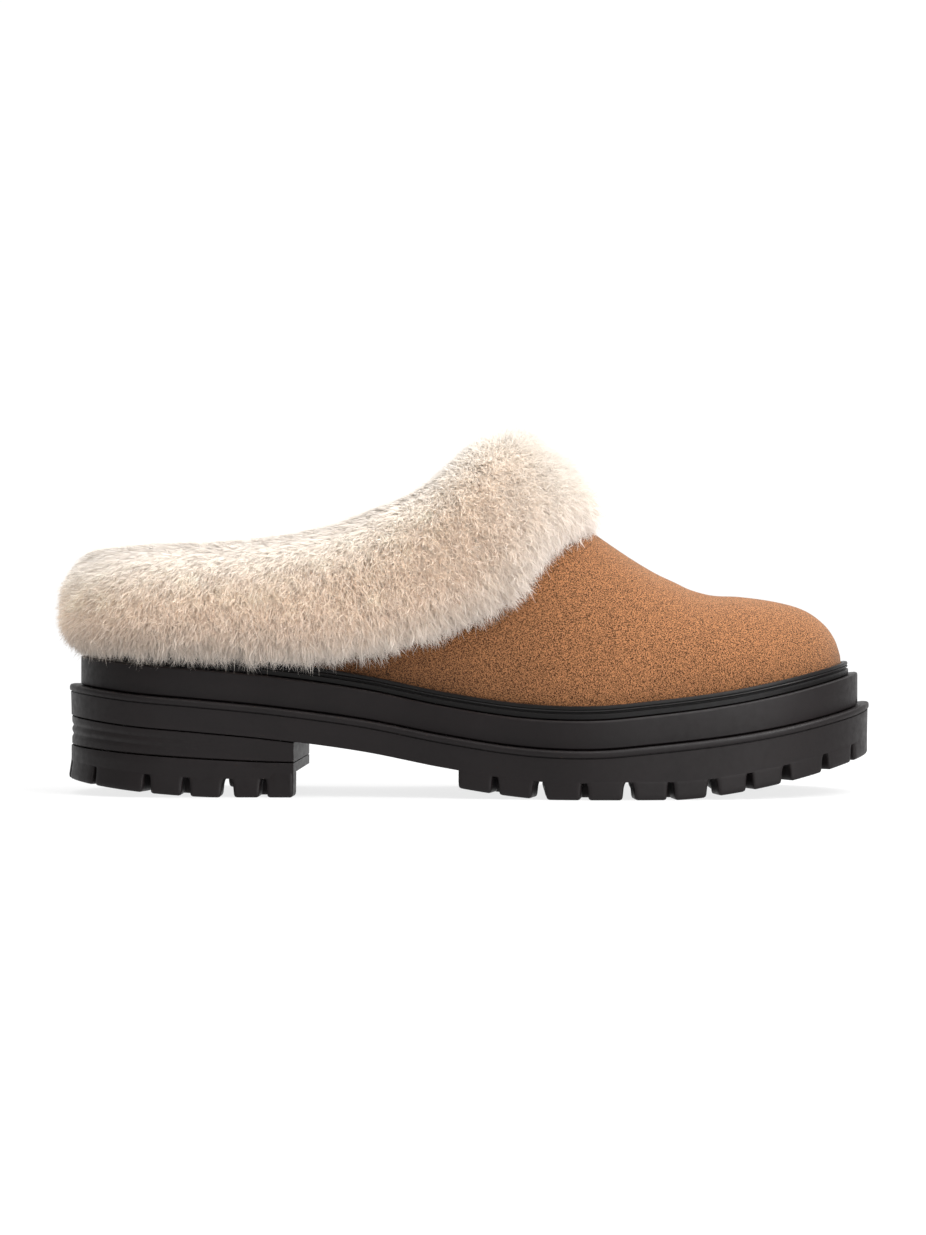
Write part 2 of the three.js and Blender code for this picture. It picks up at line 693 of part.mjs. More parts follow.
// Fur cuff folded over the collar edge and clear of the welt, midsole and outsole below it
function makeFurCuff() {
  const sections = [];
  for (let i = 0; i < loopSteps; i += 1) sections.push(cuffSection(i));
  let cuff = addLocks(torusBody(sections), sections);
  const grown = lastBody(gap, overrun);
  const slot = grown.subtract(lastBody(-upperWall - gap, overrun + 1)).subtract(aboveCollar(gap));
  cuff = cuff.subtract(slot).subtract(grown.intersect(belowCollar(innerCuffDepth)));
  const clear = layer([
    { inset: -gap, height: () => -heelStack },
    { inset: -gap, height: (s) => lipTop(s) + gap },
  ]).add(layer([
    { inset: lipLedge - gap, height: () => -heelStack },
    { inset: lipLedge - gap, height: (s) => midsoleTop(s) + gap },
  ])).add(layer([
    { inset: lipLedge + weltLedge - gap, height: () => -heelStack },
    { inset: lipLedge + weltLedge - gap, height: (s) => weltTop(s) + gap },
  ]));
  const larger = (a, b) => (a.volume() > b.volume() ? a : b);
  return cuff.subtract(clear).decompose().reduce(larger);
}

const rubber = 0x2c2726;
const group = new THREE.Group();
group.add(toMesh("outsole", makeOutsole(), rubber, 0.6));
group.add(toMesh("heel_block", makeHeelBlock(), rubber, 0.6));
group.add(toMesh("heel_lift", makeHeelLift(), rubber, 0.65));
group.add(toMesh("midsole", makeMidsole(), rubber, 0.6));
group.add(toMesh("welt", makeWelt(), 0x1c1a1a, 0.5));
group.add(toMesh("insole", makeInsole(), 0xe0d3c0, 0.95));
group.add(toMesh("upper", makeUpper(), 0xb0764c, 0.95));
group.add(toMesh("fur_cuff", makeFurCuff(), 0xe3d5c2, 1.0));

// The part stands with its origin under the middle of its box
const box = new THREE.Box3().setFromObject(group);
group.position.set(-(box.min.x + box.max.x) / 2, -(box.min.y + box.max.y) / 2, -box.min.z);
group.updateMatrixWorld(true);

export default group;
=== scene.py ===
"""Looks of a clog slipper: a napped suede upper, a deep shearling cuff and a lug sole with a low heel.

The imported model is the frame. Every surface here is worked out from the sole's own length in that
frame, in metres, with +X towards the toe, -Y towards the outer side and the floor at Z = 0.
"""
import math

import bpy
import numpy as np
from bpy.props import FloatProperty, FloatVectorProperty, IntProperty, PointerProperty
from bpy.types import Operator, Panel, PropertyGroup
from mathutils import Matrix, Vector


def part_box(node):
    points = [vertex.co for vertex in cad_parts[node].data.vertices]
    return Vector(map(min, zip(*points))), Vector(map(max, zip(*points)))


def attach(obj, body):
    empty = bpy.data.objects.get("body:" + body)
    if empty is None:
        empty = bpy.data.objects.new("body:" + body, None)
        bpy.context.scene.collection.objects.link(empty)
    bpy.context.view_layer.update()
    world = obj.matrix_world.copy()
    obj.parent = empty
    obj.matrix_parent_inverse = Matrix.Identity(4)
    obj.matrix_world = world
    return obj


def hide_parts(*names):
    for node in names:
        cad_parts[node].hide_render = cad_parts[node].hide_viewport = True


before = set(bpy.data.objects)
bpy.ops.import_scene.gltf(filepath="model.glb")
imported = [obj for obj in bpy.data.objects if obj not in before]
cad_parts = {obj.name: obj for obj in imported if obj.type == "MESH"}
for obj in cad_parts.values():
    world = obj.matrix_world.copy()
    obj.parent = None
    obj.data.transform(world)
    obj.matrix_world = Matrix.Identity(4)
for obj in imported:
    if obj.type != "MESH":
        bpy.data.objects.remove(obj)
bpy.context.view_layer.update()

bl_info = {
    "name": "Clog slipper looks",
    "version": (1, 0, 0),
    "blender": (4, 5, 0),
    "location": "3D View > Sidebar > Slipper",
    "description": "Builds the sole, upper, footbed and shearling cuff of a clog slipper round its CAD frame",
    "category": "Object",
}

# Sizes of the shoe, which the frame's own solids were made to
SOLE_LOW, SOLE_HIGH = (np.array(corner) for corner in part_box("outsole"))
SOLE_LENGTH = float(SOLE_HIGH[0] - SOLE_LOW[0])
MM = SOLE_LENGTH / 272
BALL_WIDTH = 98 * MM
HEEL_STACK = 37 * MM
SLAB_THICKNESS = 10.3 * MM
MIDSOLE_HEIGHT = 9.4 * MM
WELT_HEIGHT = 4.4 * MM
LIFT_HEIGHT = 11.2 * MM
LIFT_RISE = 5.2 * MM
LUG_HEIGHT = 5.8 * MM
HEEL_LUG_HEIGHT = 6.1 * MM
BREAST_STEP = 6.5 * MM
BREAST_HEIGHT = 8 * MM
LUG_DEPTH = 11 * MM
CHANNEL = 4.6 * MM
LIP_LEDGE = 3.8 * MM
WELT_LEDGE = 3.1 * MM
UPPER_LEDGE = 2.4 * MM
LIP_HEIGHT = 2.4 * MM
LIP_OVERHANG = 0.4 * MM
TOE_SPRING = 13.6 * MM
HEEL_BEVEL = 5.3 * MM
INSTEP_HEIGHT = 104 * MM
COLLAR_HEIGHT = 74 * MM
UPPER_WALL = 2.5 * MM
INSOLE_THICKNESS = 5 * MM
HEEL_LEAN = 4 * MM
CUFF_DROP = 36 * MM
CUFF_RISE = 10 * MM
CUFF_OUTSIDE = 13 * MM
CUFF_INSIDE = 6.5 * MM
INNER_CUFF_DEPTH = 17 * MM
GAP = 0.3 * MM
DRAFT = 0.2 * MM
LIFT_FLARE = 0.3 * MM
FOREFOOT_RISE = 3.5 * MM
UPPER_INSET = LIP_LEDGE + WELT_LEDGE + UPPER_LEDGE

# Places along the sole, as shares of its length
BEVEL_END = 0.2
HEEL_FRONT = 0.29
FOREFOOT_START = 0.488
FOREFOOT_FLAT = 0.6
SPRING_START = 0.745
ROLL_POWER = 1.5
HEEL_ROUND = 0.135
TOE_ROUND = 0.2
HEEL_FULLNESS = 2.2
TOE_FULLNESS = 2.15
THROAT = 0.578

# Part of a turn on either side between which the outline's normal is taken, and points round the sole
NORMAL_STEP = 0.5 / 52
RIM_TURNS = np.arange(560) / 560

# Outline of the sole from above: half widths as shares of the ball width
PLAN = (("along", "outer", "inner"), (
    (0.0, 0.35, 0.35), (0.12, 0.372, 0.365), (0.26, 0.365, 0.345), (0.4, 0.385, 0.315),
    (0.52, 0.45, 0.365), (0.64, 0.51, 0.45), (0.75, 0.495, 0.5), (0.87, 0.45, 0.495), (1.0, 0.4, 0.46),
))

# Side lines: lip height as a share of the heel stack, midsole band as a share of its height
SIDE = (("along", "lip", "band"), (
    (0.0, 1.0, 1.03), (0.09, 0.915, 1.04), (0.17, 0.862, 1.05), (0.263, 0.795, 1.05), (0.372, 0.688, 1.02),
    (0.471, 0.55, 0.98), (0.568, 0.448, 0.98), (0.65, 0.427, 0.99), (0.72, 0.468, 1.0),
    (0.803, 0.535, 1.04), (0.88, 0.625, 1.1), (0.966, 0.765, 1.15), (1.0, 0.84, 1.15),
))

# Notches between the lugs: place along the outer edge, width as a share of the lug height, 1 if it runs
# across, and how much further forward it then meets the inner edge
FOREFOOT_NOTCHES = np.array((
    (0.532, 0.45, 0, 0), (0.584, 0.85, 1, 0), (0.638, 0.45, 0, 0), (0.691, 0.7, 1, 0.008),
    (0.741, 0.45, 0, 0), (0.791, 0.7, 1, 0), (0.836, 0.45, 0, 0), (0.882, 0.65, 1, 0),
    (0.933, 0.6, 0, 0), (0.9715, 0.45, 0, 0),
))
HEEL_NOTCHES = np.array((
    (0.006, 0.35, 0, 0), (0.0435, 0.35, 0, 0), (0.1125, 0.5, 0, 0), (0.1605, 0.5, 0, 0),
    (0.2105, 0.75, 1, -0.0275), (0.2535, 0.45, 0, 0),
))

# Width of a notch's top as a share of its foot's, grooves of the heel block as shares of its height from the
# top, their width and where they end, and how far the middle lugs keep from the outline's ends
NOTCH_TAPER = 0.7
HEEL_RIBS = (0.33, 0.63)
RIB_WIDTH = 0.075
RIB_END = 0.21
ISLAND_MARGIN = 0.012

# Ridge of the last: height as a share of the instep height, roundness, lean as a share of the ball width
RIDGE = (("along", "height", "power", "lean"), (
    (0.034, 1.3, 2.6, 0.0), (0.3, 1.28, 2.5, 0.01), (0.5, 1.14, 2.35, 0.03), (0.574, 0.995, 2.25, 0.04),
    (0.664, 0.832, 2.15, 0.045), (0.715, 0.744, 2.15, 0.04), (0.765, 0.68, 2.2, 0.035),
    (0.8, 0.645, 2.3, 0.03), (0.84, 0.638, 2.3, 0.03), (0.885, 0.6215, 2.25, 0.03), (0.92, 0.5945, 2.2, 0.02),
    (0.944, 0.5505, 2.1, 0.01), (0.958, 0.501, 2.0, 0.005), (0.9655, 0.447, 1.95, 0.0),
))

# Top edge of the collar: height as a share of the collar height
COLLAR = (("along", "height"), (
    (-0.1, 0.98), (0.06, 0.98), (0.22, 1.0), (0.3, 1.03), (0.37, 1.09), (0.43, 1.19), (0.48, 1.31),
    (0.52, 1.385), (0.555, 1.405), (0.578, 1.39),
))

# The cuff from the throat (0) to the heel (1): shares of its sizes, slope in degrees, roundness, belly
CUFF = (("around", "drop", "rise", "out", "tilt", "round", "belly"), (
    (0.0, 0.8, 2.1, 1.2, 56, 0.88, 0.0), (0.1, 0.98, 1.7, 1.16, 44, 0.85, 0.1),
    (0.22, 1.2, 0.92, 1.06, 24, 0.8, 0.25), (0.36, 1.1, 1.1, 1.0, 10, 0.8, 0.35),
    (0.6, 0.95, 1.02, 0.98, 4, 0.82, 0.4), (0.8, 0.86, 1.0, 0.98, 3, 0.86, 0.42),
    (1.0, 0.78, 0.86, 1.0, 0, 0.95, 0.45),
))

# Colour of the wool round the section, part its own tones and part painted light, lighter over the top and
# darker below: angle in degrees from the outermost line, then red, green, blue
WOOL_AND_PAINTED_LIGHT = (("angle", "red", "green", "blue"), (
    (-90, 0.955, 0.92, 0.885), (-60, 0.96, 0.918, 0.875), (-25, 0.98, 0.93, 0.88), (10, 0.988, 0.938, 0.885),
    (45, 0.982, 0.955, 0.924), (80, 0.955, 0.936, 0.914), (150, 0.96, 0.938, 0.91), (270, 0.96, 0.92, 0.87),
))

# Lie of the wool: angle of the parting and of the turn on either side of it in degrees, size of a tuft,
# mean radius of the section, and the kinds of tuft with the two primes that pick one for each place
PARTING = 105
PARTING_TURN = 55
TUFT = 0.0036
SECTION_RADIUS = 0.024
TUFT_KINDS = 4096
TUFT_PRIMES = np.array((7919, 104729))

# Sweep of the hairs round the section in degrees, and how much thinner they grow inside the cuff
FIRST_HAIR = -88
HAIR_SWEEP = 300
INNER_THINNING = 0.45

# Two pieces of a hair from root to tip: how much it stands up, bends down and curls; its width at each
HAIR_PIECES = ((0.85, 0.45, 0.1), (0.62, 0.72, 0.42))
HAIR_TAPER = (1.0, 0.85)
PALE_TIP = np.array((0.86, 0.84, 0.82))

# Creases of the upper: place along the sole, place up the section, half length, half width, depth in mm
CREASES = (
    (0.742, 0.80, 0.020, 0.30, 0.35),
    (0.775, 0.86, 0.015, 0.34, 0.5),
    (0.700, 0.62, 0.022, 0.22, -0.35),
    (0.655, 0.45, 0.020, 0.30, 0.3),
)


class SlipperSole(PropertyGroup):
    """Rubber of the outsole, heel, midsole and welt."""

    colour: FloatVectorProperty(
        name="Rubber", description="Colour of the moulded rubber", subtype="COLOR", size=3,
        default=(0.0062, 0.0042, 0.0044), min=0, max=1)
    welt_colour: FloatVectorProperty(
        name="Welt", description="Colour of the welt strip", subtype="COLOR", size=3,
        default=(0.004, 0.0034, 0.0034), min=0, max=1)
    roughness: FloatProperty(
        name="Roughness", description="Roughness of the rubber", subtype="FACTOR", default=0.5, min=0, max=1)
    lug_round: FloatProperty(
        name="Lug rounding", description="Radius of the edges of each lug", unit="LENGTH",
        default=0.0009, min=0.0001, max=0.002)
    rib_depth: FloatProperty(
        name="Rib depth", description="Depth of the grooves round the back of the heel", unit="LENGTH",
        default=0.0005, min=0, max=0.002)


class SlipperUpper(PropertyGroup):
    """Suede of the upper."""

    dark: FloatVectorProperty(
        name="Nap, dark", description="Suede colour where the nap lies away", subtype="COLOR", size=3,
        default=(0.052, 0.0215, 0.0078), min=0, max=1)
    light: FloatVectorProperty(
        name="Nap, light", description="Suede colour where the nap stands up", subtype="COLOR", size=3,
        default=(0.359, 0.1565, 0.0652), min=0, max=1)
    crease: FloatProperty(
        name="Creases", description="Depth of the creases against their usual depth", subtype="FACTOR",
        default=1.0, min=0, max=3)


class SlipperWool(PropertyGroup):
    """Wool of the cuff and the footbed."""

    hair_length: FloatProperty(
        name="Hair length", description="Length of a hair on the outside of the cuff", unit="LENGTH",
        default=0.0068, min=0.002, max=0.03)
    hair_width: FloatProperty(
        name="Hair width", description="Width of a hair, or of the few fibres that it stands for",
        unit="LENGTH", default=0.00027, min=0.00005, max=0.002)
    skin_depth: FloatProperty(
        name="Skin depth", description="How far the skin lies under the tips of the wool", unit="LENGTH",
        default=0.0040, min=0, max=0.01)
    hem: FloatProperty(
        name="Hem", description="How far the tips hang below the skin's lower edge", unit="LENGTH",
        default=0.0064, min=0, max=0.02)
    patches: IntProperty(
        name="Patches", description="Meshes that the hairs of the cuff are shared out over",
        default=4, min=1, max=8)
    hairs: IntProperty(
        name="Hairs a patch", description="Number of hairs in each patch", default=58000, min=100, max=65000)
    pile: IntProperty(
        name="Pile of the footbed", description="Number of hairs on the footbed",
        default=14000, min=100, max=60000)
    seed: IntProperty(
        name="Seed", description="Start of the random numbers", default=7, min=0)
    footbed: FloatVectorProperty(
        name="Footbed", description="Colour of the footbed's pile", subtype="COLOR", size=3,
        default=(0.66, 0.55, 0.43), min=0, max=1)


class SlipperStage(PropertyGroup):
    """Camera, light and floor."""

    lens: FloatProperty(
        name="Lens", description="Focal length in millimetres", default=72.6, min=10, max=300)
    camera: FloatVectorProperty(
        name="Camera", description="Place of the camera", subtype="XYZ", unit="LENGTH", size=3,
        default=(0.013, -0.85, 0.0506))
    target: FloatVectorProperty(
        name="Target", description="Point in the middle of the picture", subtype="XYZ", unit="LENGTH",
        size=3, default=(0.0003, 0.0, 0.0593))
    key: FloatProperty(
        name="Key light", description="Power of the key light", unit="POWER", default=21.0, min=0)
    fill: FloatProperty(
        name="Fill light", description="Power of the fill light", unit="POWER", default=1.6, min=0)
    top: FloatProperty(
        name="Top light", description="Power of the light overhead", unit="POWER", default=11.5, min=0)
    backdrop: FloatProperty(
        name="Backdrop light", description="Power of the light on the backdrop", unit="POWER",
        default=90.0, min=0)
    floor: FloatVectorProperty(
        name="Floor", description="Colour of the floor and backdrop", subtype="COLOR", size=3,
        default=(0.16, 0.16, 0.16), min=0, max=1)
    glow: FloatProperty(
        name="Floor glow", description="Light that the floor and backdrop give by themselves", default=0.79,
        min=0, max=2)


# Curves and sections

def column(table, key, at):
    """Smooth curve through one column: cubic pieces whose slope at a row is that between its neighbours."""
    names, rows = table
    values = np.array(rows, dtype=float)
    x = values[:, 0]
    y = values[:, names.index(key)]
    t = np.clip(at, x[0], x[-1])
    i = np.clip(np.searchsorted(x, t) - 1, 0, len(x) - 2)
    row = np.arange(len(x))
    ahead = np.minimum(row + 1, row[-1])
    behind = np.maximum(row - 1, 0)
    slope = (y[ahead] - y[behind]) / (x[ahead] - x[behind])
    span = x[i + 1] - x[i]
    u = (t - x[i]) / span
    start = y[i] * (2 * u**3 - 3 * u**2 + 1) + slope[i] * span * (u**3 - 2 * u**2 + u)
    return start + y[i + 1] * (3 * u**2 - 2 * u**3) + slope[i + 1] * span * (u**3 - u**2)


def lip_top(s):
    """Height of the outsole's lip at a share of the sole's length."""
    return HEEL_STACK * column(SIDE, "lip", s)


def midsole_top(s):
    """Height of the midsole's top: the lip, the clearance and the band."""
    return lip_top(s) + GAP + MIDSOLE_HEIGHT * column(SIDE, "band", s)


def lift_top(s):
    """Height of the joint between top lift and heel block: it climbs towards the back."""
    return LIFT_HEIGHT + LIFT_RISE * np.maximum(0, 1 - s / HEEL_FRONT) ** ROLL_POWER


def heel_floor(s):
    """Underside of the heel: flat, with a bevel that curves up to the back."""
    return HEEL_BEVEL * (np.maximum(0, BEVEL_END - s) / BEVEL_END) ** ROLL_POWER


def forefoot_floor(s):
    """Underside of the forefoot: flat, curving up to the waist behind it and to the toe before it."""
    front = TOE_SPRING * (np.maximum(0, s - SPRING_START) / (1 - SPRING_START)) ** ROLL_POWER
    rear = np.clip((FOREFOOT_FLAT - s) / (FOREFOOT_FLAT - FOREFOOT_START), 0, 1)
    return front + FOREFOOT_RISE * rear**ROLL_POWER


def tread_top(s):
    """Height from which the outsole is whole: the top of the notches, or the slab's own bottom."""
    slab = lip_top(s) - SLAB_THICKNESS
    notched = forefoot_floor(s) + LUG_HEIGHT
    return np.where(s >= FOREFOOT_START, np.minimum(slab, notched), slab)


def rim(turn):
    """Outline from above: heel at turn 0, outer side, toe at 0.5, inner side; the ends are superellipses."""
    turn = np.mod(turn, 1.0)
    along = (1 - np.cos(2 * np.pi * turn)) / 2

    def ended(share, power):
        return (1 - (1 - np.minimum(share, 1)) ** power) ** (1 / power)

    ends = ended(along / HEEL_ROUND, HEEL_FULLNESS) * ended((1 - along) / TOE_ROUND, TOE_FULLNESS)
    outer = BALL_WIDTH * column(PLAN, "outer", along)
    inner = BALL_WIDTH * column(PLAN, "inner", along)
    middle = (inner - outer) / 2
    side = np.where(turn < 0.5, -1, 1)
    return along, middle, middle + side * (inner + outer) / 2 * ends


def outline(turn, inset):
    """Rim moved inwards by an inset along its own normal; returns x, y, share of the length and middle."""
    along, middle, y = rim(turn)
    before, _, y_before = rim(turn - NORMAL_STEP)
    after, _, y_after = rim(turn + NORMAL_STEP)
    dx = (after - before) * SOLE_LENGTH
    dy = y_after - y_before
    size = np.hypot(dx, dy)
    x = along * SOLE_LENGTH - dy / size * inset
    return x, y + dx / size * inset, x / SOLE_LENGTH, middle


def rim_turn(share):
    """Turn at which the outer side of the rim reaches a share of the length."""
    return np.arccos(1 - 2 * share) / (2 * np.pi)


FRAME_SHIFT = np.array((
    SOLE_LOW[0],
    (SOLE_LOW[1] + SOLE_HIGH[1]) / 2 - sum(f(rim(np.linspace(0, 1, 2001))[2]) for f in (np.min, np.max)) / 2,
    0.0,
))


# Meshes

def quads(rows, columns, wrap_rows=False, wrap_columns=False):
    """Faces of a grid of points stored row by row; either way round may close on itself."""
    r = np.arange(rows if wrap_rows else rows - 1)[:, None]
    c = np.arange(columns if wrap_columns else columns - 1)[None, :]
    r2 = (r + 1) % rows
    c2 = (c + 1) % columns
    corners = np.stack(np.broadcast_arrays(
        r * columns + c, r * columns + c2, r2 * columns + c2, r2 * columns + c), axis=-1)
    return corners.reshape(-1, 4)


def caps(count, base, up):
    """Faces across a ring of even count: strips between point k and its mirror image, count - k."""
    k = np.arange(1, count // 2 - 1)
    strips = np.stack((k, k + 1, count - k - 1, count - k), axis=-1)
    half = count // 2
    ends = np.array(((0, 1, count - 1), (half, half + 1, half - 1)))
    if not up:
        strips = strips[:, ::-1]
        ends = ends[:, ::-1]
    return strips + base, ends + base


def ring_solid(rings):
    """Closed body from rings of equal count, lowest first."""
    levels, count, _ = rings.shape
    low = caps(count, 0, False)
    high = caps(count, (levels - 1) * count, True)
    return rings.reshape(-1, 3), [quads(levels, count, wrap_columns=True), *low, *high]


def layer(rows, turns):
    """Body of the sole over the whole outline: each row is an inset, a height function and a step over it."""
    rings = []
    for inset, height, step in rows:
        x, y, along, _ = outline(turns, inset)
        rings.append(np.stack((x, y, height(along) + step), axis=-1))
    return ring_solid(np.array(rings))


def outward(points, faces):
    """Turns all faces round if the body's signed volume, summed over face fans, is negative."""
    volume = 0.0
    for group in faces:
        for k in range(1, group.shape[1] - 1):
            a, b, c = points[group[:, 0]], points[group[:, k]], points[group[:, k + 1]]
            volume += np.einsum("ij,ij->", a, np.cross(b, c))
    return faces if volume > 0 else [group[:, ::-1] for group in faces]


def joined(bodies):
    """One list of points and faces from several closed bodies, each facing outwards."""
    points, faces, start = [], [], 0
    for body_points, body_faces in bodies:
        faces += [group + start for group in outward(body_points, body_faces)]
        points.append(body_points)
        start += len(body_points)
    return np.concatenate(points), faces


def new_piece(name, body, material, replaced=(), smooth=35):
    """Object from points and faces, moved into the frame, riding on the shoe and standing for its nodes."""
    points, faces = body
    points = points + FRAME_SHIFT
    mesh = bpy.data.meshes.new(name)
    mesh.vertices.add(len(points))
    mesh.vertices.foreach_set("co", points.astype(np.float32).ravel())
    corners = np.concatenate([group.ravel() for group in faces])
    sizes = np.concatenate([np.full(len(group), group.shape[1]) for group in faces])
    mesh.loops.add(len(corners))
    mesh.loops.foreach_set("vertex_index", corners.astype(np.int32))
    mesh.polygons.add(len(sizes))
    mesh.polygons.foreach_set("loop_start", (np.cumsum(sizes) - sizes).astype(np.int32))
    mesh.polygons.foreach_set("use_smooth", np.ones(len(sizes), dtype=bool))
    mesh.update(calc_edges=True)
    if mesh.validate():
        raise RuntimeError(f"{name} has faces that are not valid")
    mesh.set_sharp_from_angle(angle=math.radians(smooth))
    piece = bpy.data.objects.new(name, mesh)
    bpy.context.scene.collection.objects.link(piece)
    mesh.materials.append(material)
    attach(piece, "root")
    if replaced:
        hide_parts(*replaced)
    return piece


def rounded_block(size, radius, counts):
    """Box with rounded edges about the origin: each point is drawn in to a smaller box, then pushed out again
    by the radius along the way it was drawn in. Returns points and faces, welded."""
    half = np.array(size) / 2
    radius = min(radius, 0.45 * float(min(size)))
    edge = radius * np.array((0.0, 0.35, 1.0))
    axes = []
    for h, n in zip(half, counts):
        middle = np.linspace(-h, h, n + 2)[1:-1]
        middle = middle[np.abs(middle) < h - 1.01 * radius]
        axes.append(np.concatenate((-h + edge, middle, (h - edge)[::-1])))
    points, faces, start = [], [], 0
    for axis in range(3):
        u, v = [a for a in range(3) if a != axis]
        gu, gv = np.meshgrid(axes[u], axes[v], indexing="ij")
        for sign in (-1, 1):
            side = np.zeros((gu.size, 3))
            side[:, u] = gu.ravel()
            side[:, v] = gv.ravel()
            side[:, axis] = sign * half[axis]
            cells = quads(len(axes[u]), len(axes[v]))
            turned = (sign > 0) == (axis == 1)
            faces.append((cells[:, ::-1] if turned else cells) + start)
            points.append(side)
            start += len(side)
    points = np.concatenate(points)
    core = np.clip(points, -(half - radius), half - radius)
    away = points - core
    points = core + radius * away / np.linalg.norm(away, axis=1, keepdims=True)
    keys = np.round(points / (0.001 * MM)).astype(np.int64)
    _, first, index = np.unique(keys, axis=0, return_index=True, return_inverse=True)
    return points[first], [index.ravel()[np.concatenate(faces)]]


# Sole

def edge_lug(start, end, widths, floor, top, flare, radius):
    """One lug at the edge: a rounded block bent along the outline between two notches. It widens upwards by
    the taper of the notches, flares where it joins the part above and ends inside it. Its outer face lies in
    line with the wall above, and the flare carries its foot outwards."""
    face = LIP_OVERHANG + DRAFT - 0.02 * MM
    x0, y0, _, _ = outline(np.linspace(start, end, 40), face)
    arc = float(np.hypot(np.diff(x0), np.diff(y0)).sum())
    points, faces = rounded_block((arc, LUG_DEPTH, LUG_HEIGHT), radius, (max(6, int(arc / (2.5 * MM))), 4, 6))
    up = points[:, 2] / LUG_HEIGHT + 0.5
    along_lug = points[:, 0] / arc + 0.5
    middle_turn = start + (end - start) * along_lug
    low = floor(outline(middle_turn, face)[2])
    high = top(outline(middle_turn, face)[2])
    z = low + (high + radius + 0.3 * MM - low) * up
    share = np.clip((z - low) / (high - low), 0, 1)
    widen = (1 - NOTCH_TAPER) / 2 * share + 0.14 * np.clip((share - 0.7) / 0.3, 0, 1) ** 2
    shift = widen * (widths[1] * along_lug - widths[0] * (1 - along_lug))
    turn = start + (end - start) * (along_lug + shift / arc)
    inset = face - flare * (1 - share) + points[:, 1] + LUG_DEPTH / 2
    x, y, _, _ = outline(turn, inset)
    return np.stack((x, y, z), axis=-1), faces


def island_lug(start, end, skews, floor, top, radius):
    """One lug of the middle: a rounded block between two channels, as wide as the inset outline there. Its
    ends slant with the channels."""
    turns = np.linspace(0.0, 0.5, 400)
    inset = LUG_DEPTH + CHANNEL
    x_outer, y_outer, _, _ = outline(turns, inset)
    x_inner, y_inner, _, _ = outline(1 - turns, inset)
    length = (end - start) * SOLE_LENGTH
    width = 0.6 * BALL_WIDTH
    points, faces = rounded_block((length, width, LUG_HEIGHT), radius, (10, 12, 4))
    along_lug = points[:, 0] / length + 0.5
    across = points[:, 1] / width + 0.5
    slant = (skews[0] * (1 - along_lug) + skews[1] * along_lug) * SOLE_LENGTH
    x = start * SOLE_LENGTH + along_lug * length + slant * (0.15 + 0.7 * across)
    outer = np.interp(x, x_outer, y_outer)
    inner = np.interp(x, x_inner, y_inner)
    up = points[:, 2] / LUG_HEIGHT + 0.5
    low = floor(x / SOLE_LENGTH)
    z = low + (top(x / SOLE_LENGTH) + radius + 0.3 * MM - low) * up
    return np.stack((x, outer + (inner - outer) * across, z), axis=-1), faces


def notch_turns(notches, side):
    """Turns at which each notch starts and stops along one side of the rim, from its width and the speed of
    the outline there."""
    shares = notches[:, 0] + (notches[:, 3] if side > 0 else 0)
    turns = rim_turn(shares)
    step = 1e-4
    ahead = outline(turns + step, 0.0)
    behind = outline(turns - step, 0.0)
    speed = np.hypot(ahead[0] - behind[0], ahead[1] - behind[1]) / (2 * step)
    half = notches[:, 1] * LUG_HEIGHT / 2 / speed
    return turns - half, turns + half


def lug_bodies(notches, floor, top, ends, flare, radius, toe):
    """All lugs of one part of the sole: along both sides, round the closed end, and the middle ones."""
    widths = notches[:, 1] * LUG_HEIGHT
    bodies = []
    caps_turn = {}
    for side in (-1, 1):
        stops, starts = notch_turns(notches, side)
        spans = list(zip(starts[:-1], stops[1:], widths[:-1], widths[1:]))
        if toe:
            spans.insert(0, (rim_turn(ends[side]), stops[0], 0.0, widths[0]))
            caps_turn[side] = starts[-1]
        else:
            spans.append((starts[-1], rim_turn(ends[side]), widths[-1], 0.0))
            caps_turn[side] = stops[0]
        for start, stop, before, after in spans:
            if side < 0:
                bodies.append(edge_lug(start, stop, (before, after), floor, top, flare, radius))
            else:
                bodies.append(edge_lug(1 - stop, 1 - start, (after, before), floor, top, flare, radius))
    if toe:
        bodies.append(edge_lug(caps_turn[-1], 1 - caps_turn[1], (widths[-1],) * 2, floor, top, flare, radius))
    else:
        bodies.append(edge_lug(-caps_turn[1], caps_turn[-1], (widths[0],) * 2, floor, top, flare, radius))
    through = notches[notches[:, 2] == 1]
    reach = (LUG_DEPTH + CHANNEL) / SOLE_LENGTH + ISLAND_MARGIN
    edges = [(ends[-1] if toe else reach, 0.0)]
    for along, width, _, skew in through:
        half = width * LUG_HEIGHT / 2 / SOLE_LENGTH
        edges += [(along - half, skew), (along + half, skew)]
    edges.append((1 - reach if toe else ends[1], 0.0))
    for (start, skew), (stop, next_skew) in zip(edges[::2], edges[1::2]):
        bodies.append(island_lug(start, stop, (skew, next_skew), floor, top, radius))
    return bodies


def outsole_body(sole):
    """Slab with an overhanging lip on rounded edges, and the lugs of the forefoot under it."""
    wall = LIP_OVERHANG
    rows = (
        (wall + DRAFT, tread_top, 0.0),
        (wall, lip_top, -LIP_HEIGHT - 0.2 * MM),
        (wall + 0.35 * MM, lip_top, -LIP_HEIGHT - 0.05 * MM),
        (wall + 0.35 * MM, lip_top, -LIP_HEIGHT + 0.1 * MM),
        (0.15 * MM, lip_top, -LIP_HEIGHT + 0.3 * MM),
        (0.0, lip_top, -LIP_HEIGHT + 0.7 * MM),
        (0.0, lip_top, -1.0 * MM),
        (0.12 * MM, lip_top, -0.55 * MM),
        (0.4 * MM, lip_top, -0.2 * MM),
        (0.9 * MM, lip_top, 0.0),
    )
    lugs = lug_bodies(
        FOREFOOT_NOTCHES, forefoot_floor, tread_top, {-1: FOREFOOT_START, 1: FOREFOOT_START}, 0.0,
        sole.lug_round, True)
    return joined([layer(rows, RIM_TURNS), *lugs])


